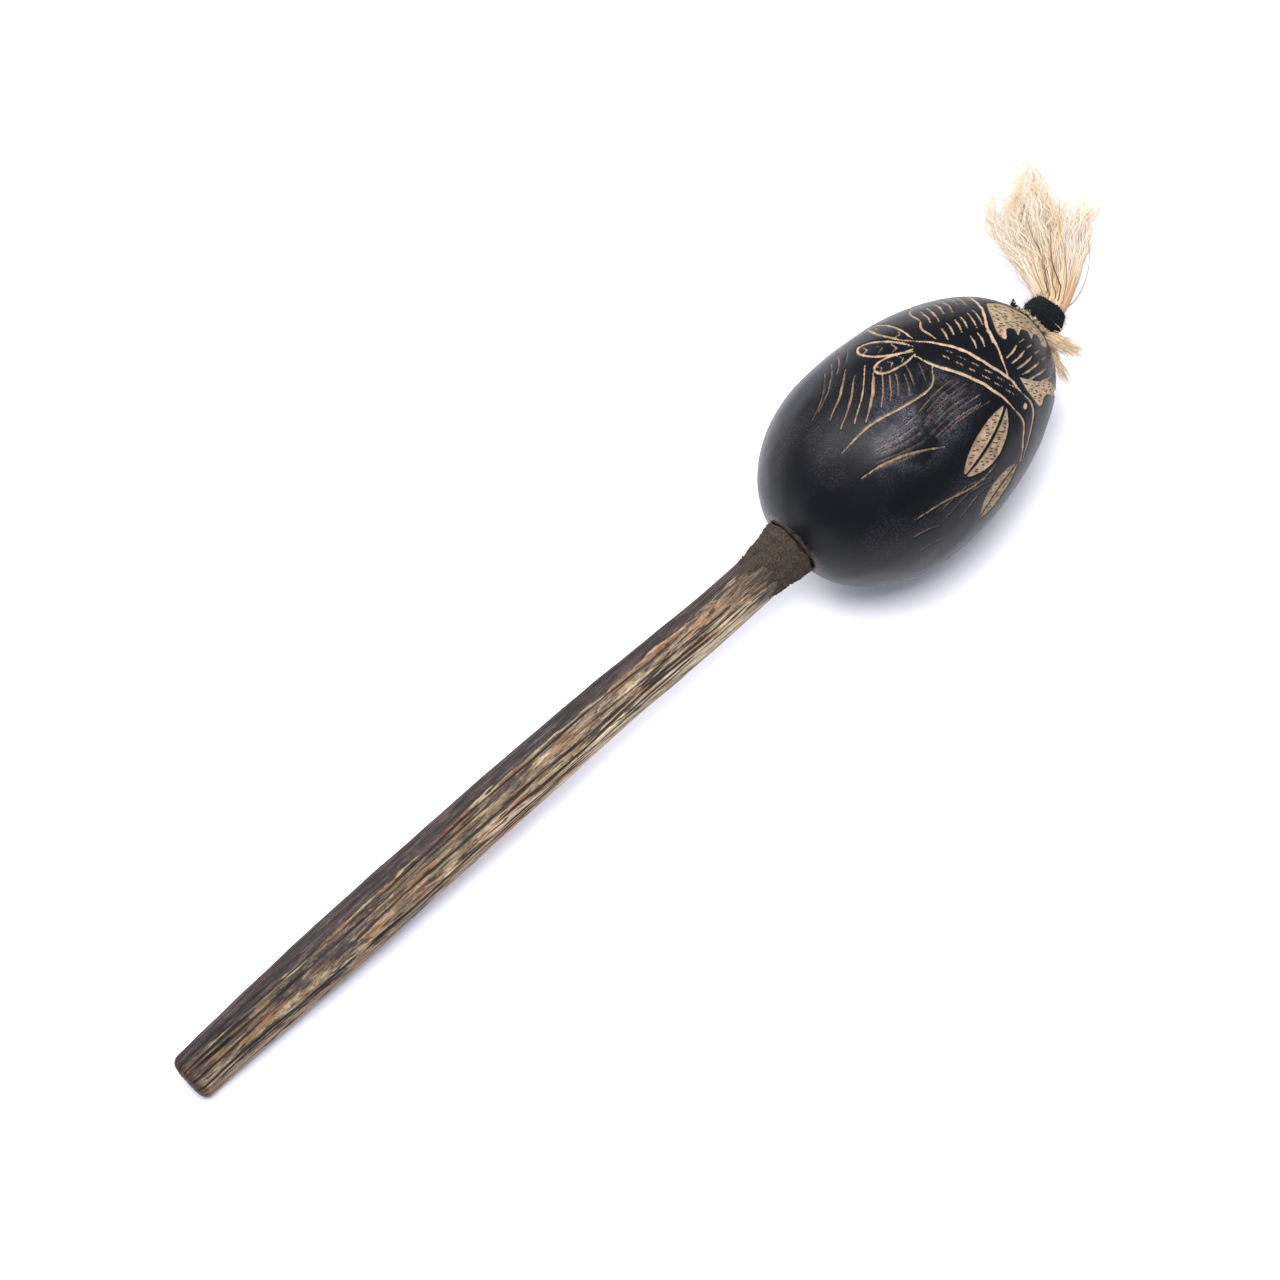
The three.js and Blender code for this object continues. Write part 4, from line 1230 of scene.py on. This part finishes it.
def fan_strands(count, rng, locks):
    """Paths, radii and tints of the fan's fibres, which hang together in wavy locks."""
    # where each fibre lies across the fan and through its thickness, from -1 to 1
    lock = rng.integers(0, locks, count)
    lock_side = np.linspace(-0.97, 0.95, locks)[rng.permutation(locks)] + rng.uniform(-0.04, 0.04, locks)
    lock_high = rng.uniform(-1, 1, locks) * np.sqrt(1 - 0.75 * lock_side.clip(-1, 1) ** 2)
    lock_size = rng.uniform(0.6, 1.3, locks)
    loose = rng.uniform(size=count) < 0.2
    gap = rng.normal(0, 1, (count, 2)) * np.where(loose, 0.3, 0.075 * lock_size[lock])[:, None]
    side = (lock_side[lock] + gap[:, 0]).clip(-1.03, 1.03)
    high = (lock_high[lock] + 2.0 * gap[:, 1]).clip(-1, 1)

    # how far it reaches: half of the fibres end short
    aim = lerp(np.interp(40, FAN_OUT, FAN_RIGHT), np.interp(40, FAN_OUT, FAN_LEFT), (side + 1) / 2)
    reach = np.interp(aim, TOP_SIDE, TOP_REACH) * rng.uniform(0.86, 1.06, locks)[lock]
    reach *= np.where(rng.uniform(size=count) < 0.5, rng.uniform(0.45, 0.9, count),
                      rng.uniform(0.86, 1.05, count))
    reach = np.minimum(reach * (1 - 0.12 * high**2), FAN_REACH * rng.uniform(0.92, 1, count))
    out = np.linspace(0, 1, FAN_STEPS)[None] ** 1.1 * reach[:, None]
    gone = out / reach[:, None]

    # its place between the fan's edges: a lock's fibres draw together towards its end, and the fan parts a
    # little left of its middle
    tip = smoothstep(gone, 0.5, 1.0)
    drawn = lock_side[lock][:, None] + gap[:, :1] * (1 - np.where(loose, 0.0, 0.55)[:, None] * tip)
    across = lerp(np.interp(out, FAN_OUT, FAN_RIGHT), np.interp(out, FAN_OUT, FAN_LEFT),
                  (drawn.clip(-1.03, 1.03) + 1) / 2)
    parting = drawn - 0.16
    push = 2.3 * np.tanh(parting / 0.07) * np.exp(-((parting / 0.34) ** 2))
    across = across + push * np.exp(-(((out - 21) / 8.5) ** 2))
    # the middle of the top edge leans to the left, and the outer locks curl outwards at their ends
    across = across + tip * (1.8 - 3.2 * np.abs(side[:, None]) + 2.6 * side[:, None] * (side[:, None] > 0.4))
    fan = np.stack([out, across, high[:, None] * np.interp(out, FAN_OUT, FAN_THICK)], -1)

    # waves: long ones shared by a lock, short ones of each fibre's own
    grow = smoothstep(out, 3, 24) * (1 + 0.5 * smoothstep(gone, 0.7, 1.0))
    stray = np.where(rng.uniform(size=count) < 0.1, rng.uniform(1.6, 3.0, count), 1.0)
    for size, gain, own in ((30, 2.1, False), (15, 1.1, False), (12, 0.8, True), (5, 0.2, True)):
        number, index = (count, np.arange(count)) if own else (locks, lock)
        phase = rng.uniform(0, 2 * math.pi, (number, 2))[index]
        wave = out * 2 * math.pi / (size * rng.uniform(0.8, 1.25, (number, 1))[index])
        power = gain * grow * (stray[:, None] if own else rng.uniform(0.5, 1.3, (number, 1))[index])
        fan[..., 1] += power * np.sin(wave + phase[:, :1])
        fan[..., 2] += 0.8 * power * np.sin(0.93 * wave + phase[:, 1:])
        fan[..., 0] += 0.25 * power * np.cos(wave + phase[:, :1])
    fan[..., 2] = np.maximum(fan[..., 2], FAN_LOWEST)

    # the last stretch in the yarn runs along the binding's axis, then eases into the fan
    narrow = np.sqrt(1 - 0.6 * side.clip(-1, 1) ** 2)
    roots = [np.stack([np.full(count, start), side * size, high * size * narrow], -1)
             for start, size in ((7.8, 3.7), (8.4, 4.3), (9.1, 4.9))]
    roots = np.stack(roots, 1) @ BINDING_AXES + on_binding(0)
    paths = np.concatenate([roots, (fan @ FAN_AXES + FLEX)[:, 1:]], 1)
    for _ in range(2):
        paths[:, 2:6] = 0.25 * paths[:, 1:5] + 0.5 * paths[:, 2:6] + 0.25 * paths[:, 3:7]

    along = np.linspace(0, 1, paths.shape[1])
    radii = rng.uniform(0.065, 0.12, count)[:, None] * np.interp(along, [0, 0.15, 0.8, 1], [1, 1, 0.8, 0.3])
    return paths, radii, fibre_tints(side, lock, locks, along, rng)


def add_fibres(name, paths, radii, tint, sides=3, **hold):
    """A piece of many fibres, with a tint for every step along each."""
    points, faces = tubes(paths, radii, sides)
    tint = np.clip(np.repeat(tint.reshape(-1, 3), sides, 0), 0, 1)
    return add_piece(name, points, faces, fibre_material(), slot="fibre", tint=tint, **hold)


def add_bending_fibres(name, paths, radii, tint, nodes=(), sides=3):
    """A piece of many fibres, attached to no body, which hides the given CAD parts."""
    piece = add_fibres(name, paths, radii, tint, sides, body=None)
    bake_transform(piece)
    if nodes:
        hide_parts(*nodes)


def add_tuft():
    for k, level in enumerate(FAN_PIECES):
        fibres = fan_strands(FAN_FIBRES, np.random.default_rng(92 + k), FAN_LOCKS)
        add_bending_fibres("tuft_fibres_" + level, *fibres, nodes=() if k else ("fibre_tuft", "tuft_neck"))

    # a few dark hairs among the pale fibres, and one that curls away on the right
    t = np.linspace(0, 1, 20)
    dark = []
    hairs = ((-1.6, -0.6, 23), (-0.4, 0.6, 12), (1.9, 4.6, 26), (3.6, 1.6, 9), (-3.4, -6.6, 33))
    for side, end, reach in hairs:
        across = lerp(side, end, t) + 0.7 * np.sin(t * 7 + side)
        line = np.stack([t * reach, across, 4.8 + 5.2 * np.sin(t * 2.2)], -1)
        root = on_binding(0) + np.array([[9.3, side * 0.85, 4.3], [9.8, side * 0.95, 4.6]]) @ BINDING_AXES
        dark.append(np.vstack([root, (line @ FAN_AXES + FLEX)[2:]]))
    curl = np.stack([-3.4 + 21 * t**1.25, -3.6 - 10 * np.sin(t * math.pi / 2) ** 0.85, 2.4 + 1.5 * t], -1)
    dark.append(curl @ FAN_AXES + FLEX)
    radii = np.array([0.26, 0.18, 0.16, 0.15, 0.1, 0.15])[:, None] * np.linspace(1, 0.5, 20)
    tint = np.tile(srgb(98, 60, 44)[:3], (len(dark), 20, 1))
    add_bending_fibres("tuft_dark_hairs", np.array(dark), radii, tint, sides=5)


ROOT_STRANDS = 260


def add_root_bundle():
    """The bundle from inside the gourd into the yarn: separate strands round a solid core."""
    rng = np.random.default_rng(101)
    turn = rng.uniform(0, 2 * math.pi, ROOT_STRANDS)
    out = np.sqrt(rng.uniform(0.25, 1, ROOT_STRANDS))
    stations = [np.array([RIM_AT - 13.5, 0, 0]), np.array([RIM_AT - 5, 0, 0]), np.array([RIM_AT, -0.45, 0]),
                np.array([RIM_AT + 0.9, -0.9, 0]), on_binding(0.4), on_binding(3.4), on_binding(5.8)]
    sizes = [2.6, 3.2, 3.5, 3.7, 3.8, 3.8, 3.8]
    paths = np.stack([place + round_axis(0, out * size, turn) for place, size in zip(stations, sizes)], 1)
    core = tubes(np.array([stations]), np.array([[2.2, 2.8, 3.1, 3.2, 3.3, 3.3, 3.2]]), 24)
    points, faces = join([core, tubes(paths, np.full(paths.shape[:2], 0.22), 4)])
    tint = np.tile(srgb(206, 176, 128)[:3], (len(points), 1))
    add_piece("fibre_bundle", points, faces, fibre_material(), node="fibre_root", slot="fibre", tint=tint)


def add_lock(name, node, start, finish, count, width, splay, seed):
    """A lock of loose fibre from under the yarn, splaying to a frayed end. Points are (past rim, y, z)."""
    rng = np.random.default_rng(seed)
    start, finish = np.array(start) + [RIM_AT, 0, 0], np.array(finish) + [RIM_AT, 0, 0]
    run = unit(finish - start)
    side = unit(np.cross(run, [0, 0, 1.0]))
    over = np.cross(side, run)
    t = np.linspace(0, 1, 12)
    a, b = rng.normal(0, 0.5, count).clip(-1.1, 1.1), rng.normal(0, 0.5, count).clip(-1.1, 1.1)
    along = t[None] * (rng.uniform(0.45, 1.12, count) * (1 - 0.15 * np.abs(a)))[:, None]
    swell = np.interp(t, [0, 0.35, 0.75, 1], [0.55, 1.0, 1.15 * splay, 1.5 * splay])
    phase = rng.uniform(0, 6.28, (count, 2))
    frizz = rng.normal(0, 0.75, (count, 2))
    wave_a = (0.4 * np.sin(along * 11 + phase[:, :1]) + frizz[:, :1] * t) * t
    wave_b = (0.3 * np.sin(along * 9 + phase[:, 1:]) + 0.6 * frizz[:, 1:] * t) * t
    paths = start + (finish - start) * along[..., None]
    paths = paths + side * (a[:, None] * width / 2 * swell + wave_a)[..., None]
    paths = paths + over * (b[:, None] * width / 3 * swell + wave_b)[..., None]
    paths[..., 2] -= 0.25 * np.sin(along * math.pi * 0.5)
    radii = rng.uniform(0.06, 0.11, (count, 1)) * np.interp(t, [0, 0.7, 1], [1, 0.9, 0.35])
    base = np.where(rng.uniform(size=(count, 1)) < 0.5, srgb(236, 218, 190)[:3], srgb(214, 188, 144)[:3])
    base = base * rng.uniform(0.75, 1.08, (count, 1))
    root = (1 - smoothstep(t, 0.0, 0.5))[None, :, None]
    tint = base[:, None] * lerp(1.0, np.array([0.8, 0.68, 0.5]), 0.7 * root)
    add_fibres(name, paths, radii, tint, node=node)


def add_loose_ends():
    add_lock("root_lock_long", "fibre_lock_long", (0.4, -5.2, 1.4), (4.4, -19.4, 1.8), 300, 4.0, 1.1, 111)
    add_lock("root_lock_short", "fibre_lock_short", (-0.1, -8.6, -1.6), (-4.6, -21.8, -3.2), 170, 2.8, 1.05,
             112)
    # the single straw tied round the yarn, with its loose end
    turn = np.radians(np.linspace(118, 262, 48))
    out = 1.9 + 1.3 * np.sin((turn - 2.2) * 1.2)
    ring = around_binding(out, binding_radius(out) + 0.15 - 0.9 * np.abs((turn - 3.3) / 1.3) ** 4, turn)
    ends = ((0.8, 7.4, 3.6), (0.6, 8.2, 3.45), (-0.4, 9.0, 3.2), (-1.2, 8.4, 3.0), (-0.9, 7.6, 3.1))
    tail = through([around_binding(*end) for end in ends], 14)
    points, faces = join([tubes(ring[None], np.full((1, len(ring)), 0.17), 6),
                          tubes(tail[None], np.full((1, len(tail)), 0.16), 6)])
    tint = np.tile(srgb(205, 192, 132)[:3], (len(points), 1))
    add_piece("tie_straw", points, faces, fibre_material(), node="tie_strand", slot="fibre", tint=tint)


# ---------- Seeds ----------


def seed_material():
    n = Nodes("seed_coat")
    mm = n.place()
    colour = n.colours(n.noise(mm, 0.9, 4), (0.35, srgb(24, 18, 16)), (0.7, srgb(58, 42, 33)))
    colour = n.mix(n.attribute("scar"), colour, srgb(150, 128, 98))
    n.set(Base_Color=colour, Roughness=0.32, Normal=n.bump(n.noise(mm, 2.0, 3), 0.1, 0.4))
    return n.material


def add_seeds():
    """Round hard seeds, slightly flattened, with a pale scar, one on each seed's body."""
    coat = seed_material()
    shape, faces = icosphere(4)
    scar = np.exp(-(((shape - [0, 0, 1]) ** 2).sum(1)) / 0.04)
    for k, node in enumerate(sorted(name for name in frame["nodes"] if name.startswith("seed_"))):
        low, high = (np.array(corner) * 1000 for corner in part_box(node))
        spin = np.linalg.qr(np.random.default_rng(200 + k).normal(size=(3, 3)))[0]
        body = shape * [1.0, 0.95, 0.9] * (1 + 0.02 * ripple(shape, 210 + k, 1.2))[:, None]
        body = body * (1 - 0.08 * scar)[:, None] @ spin * ((high - low).min() / 2)
        middle = ((low + high) / 2 - ORIGIN * 1000) @ BASIS.T
        add_piece(node + "_coat", body @ BASIS.T + middle, [faces], coat, body=node, node=node, slot="seed",
                  scar=scar)


# ---------- All together ----------

add_camera()
add_lights()
add_gourd()
add_handle()
add_collar()
add_tip_glue()
add_binding()
add_root_bundle()
add_tuft()
add_loose_ends()
add_seeds()

visual_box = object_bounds()
add_floor(min(corner[2] for corner in visual_box) - 0.0001)
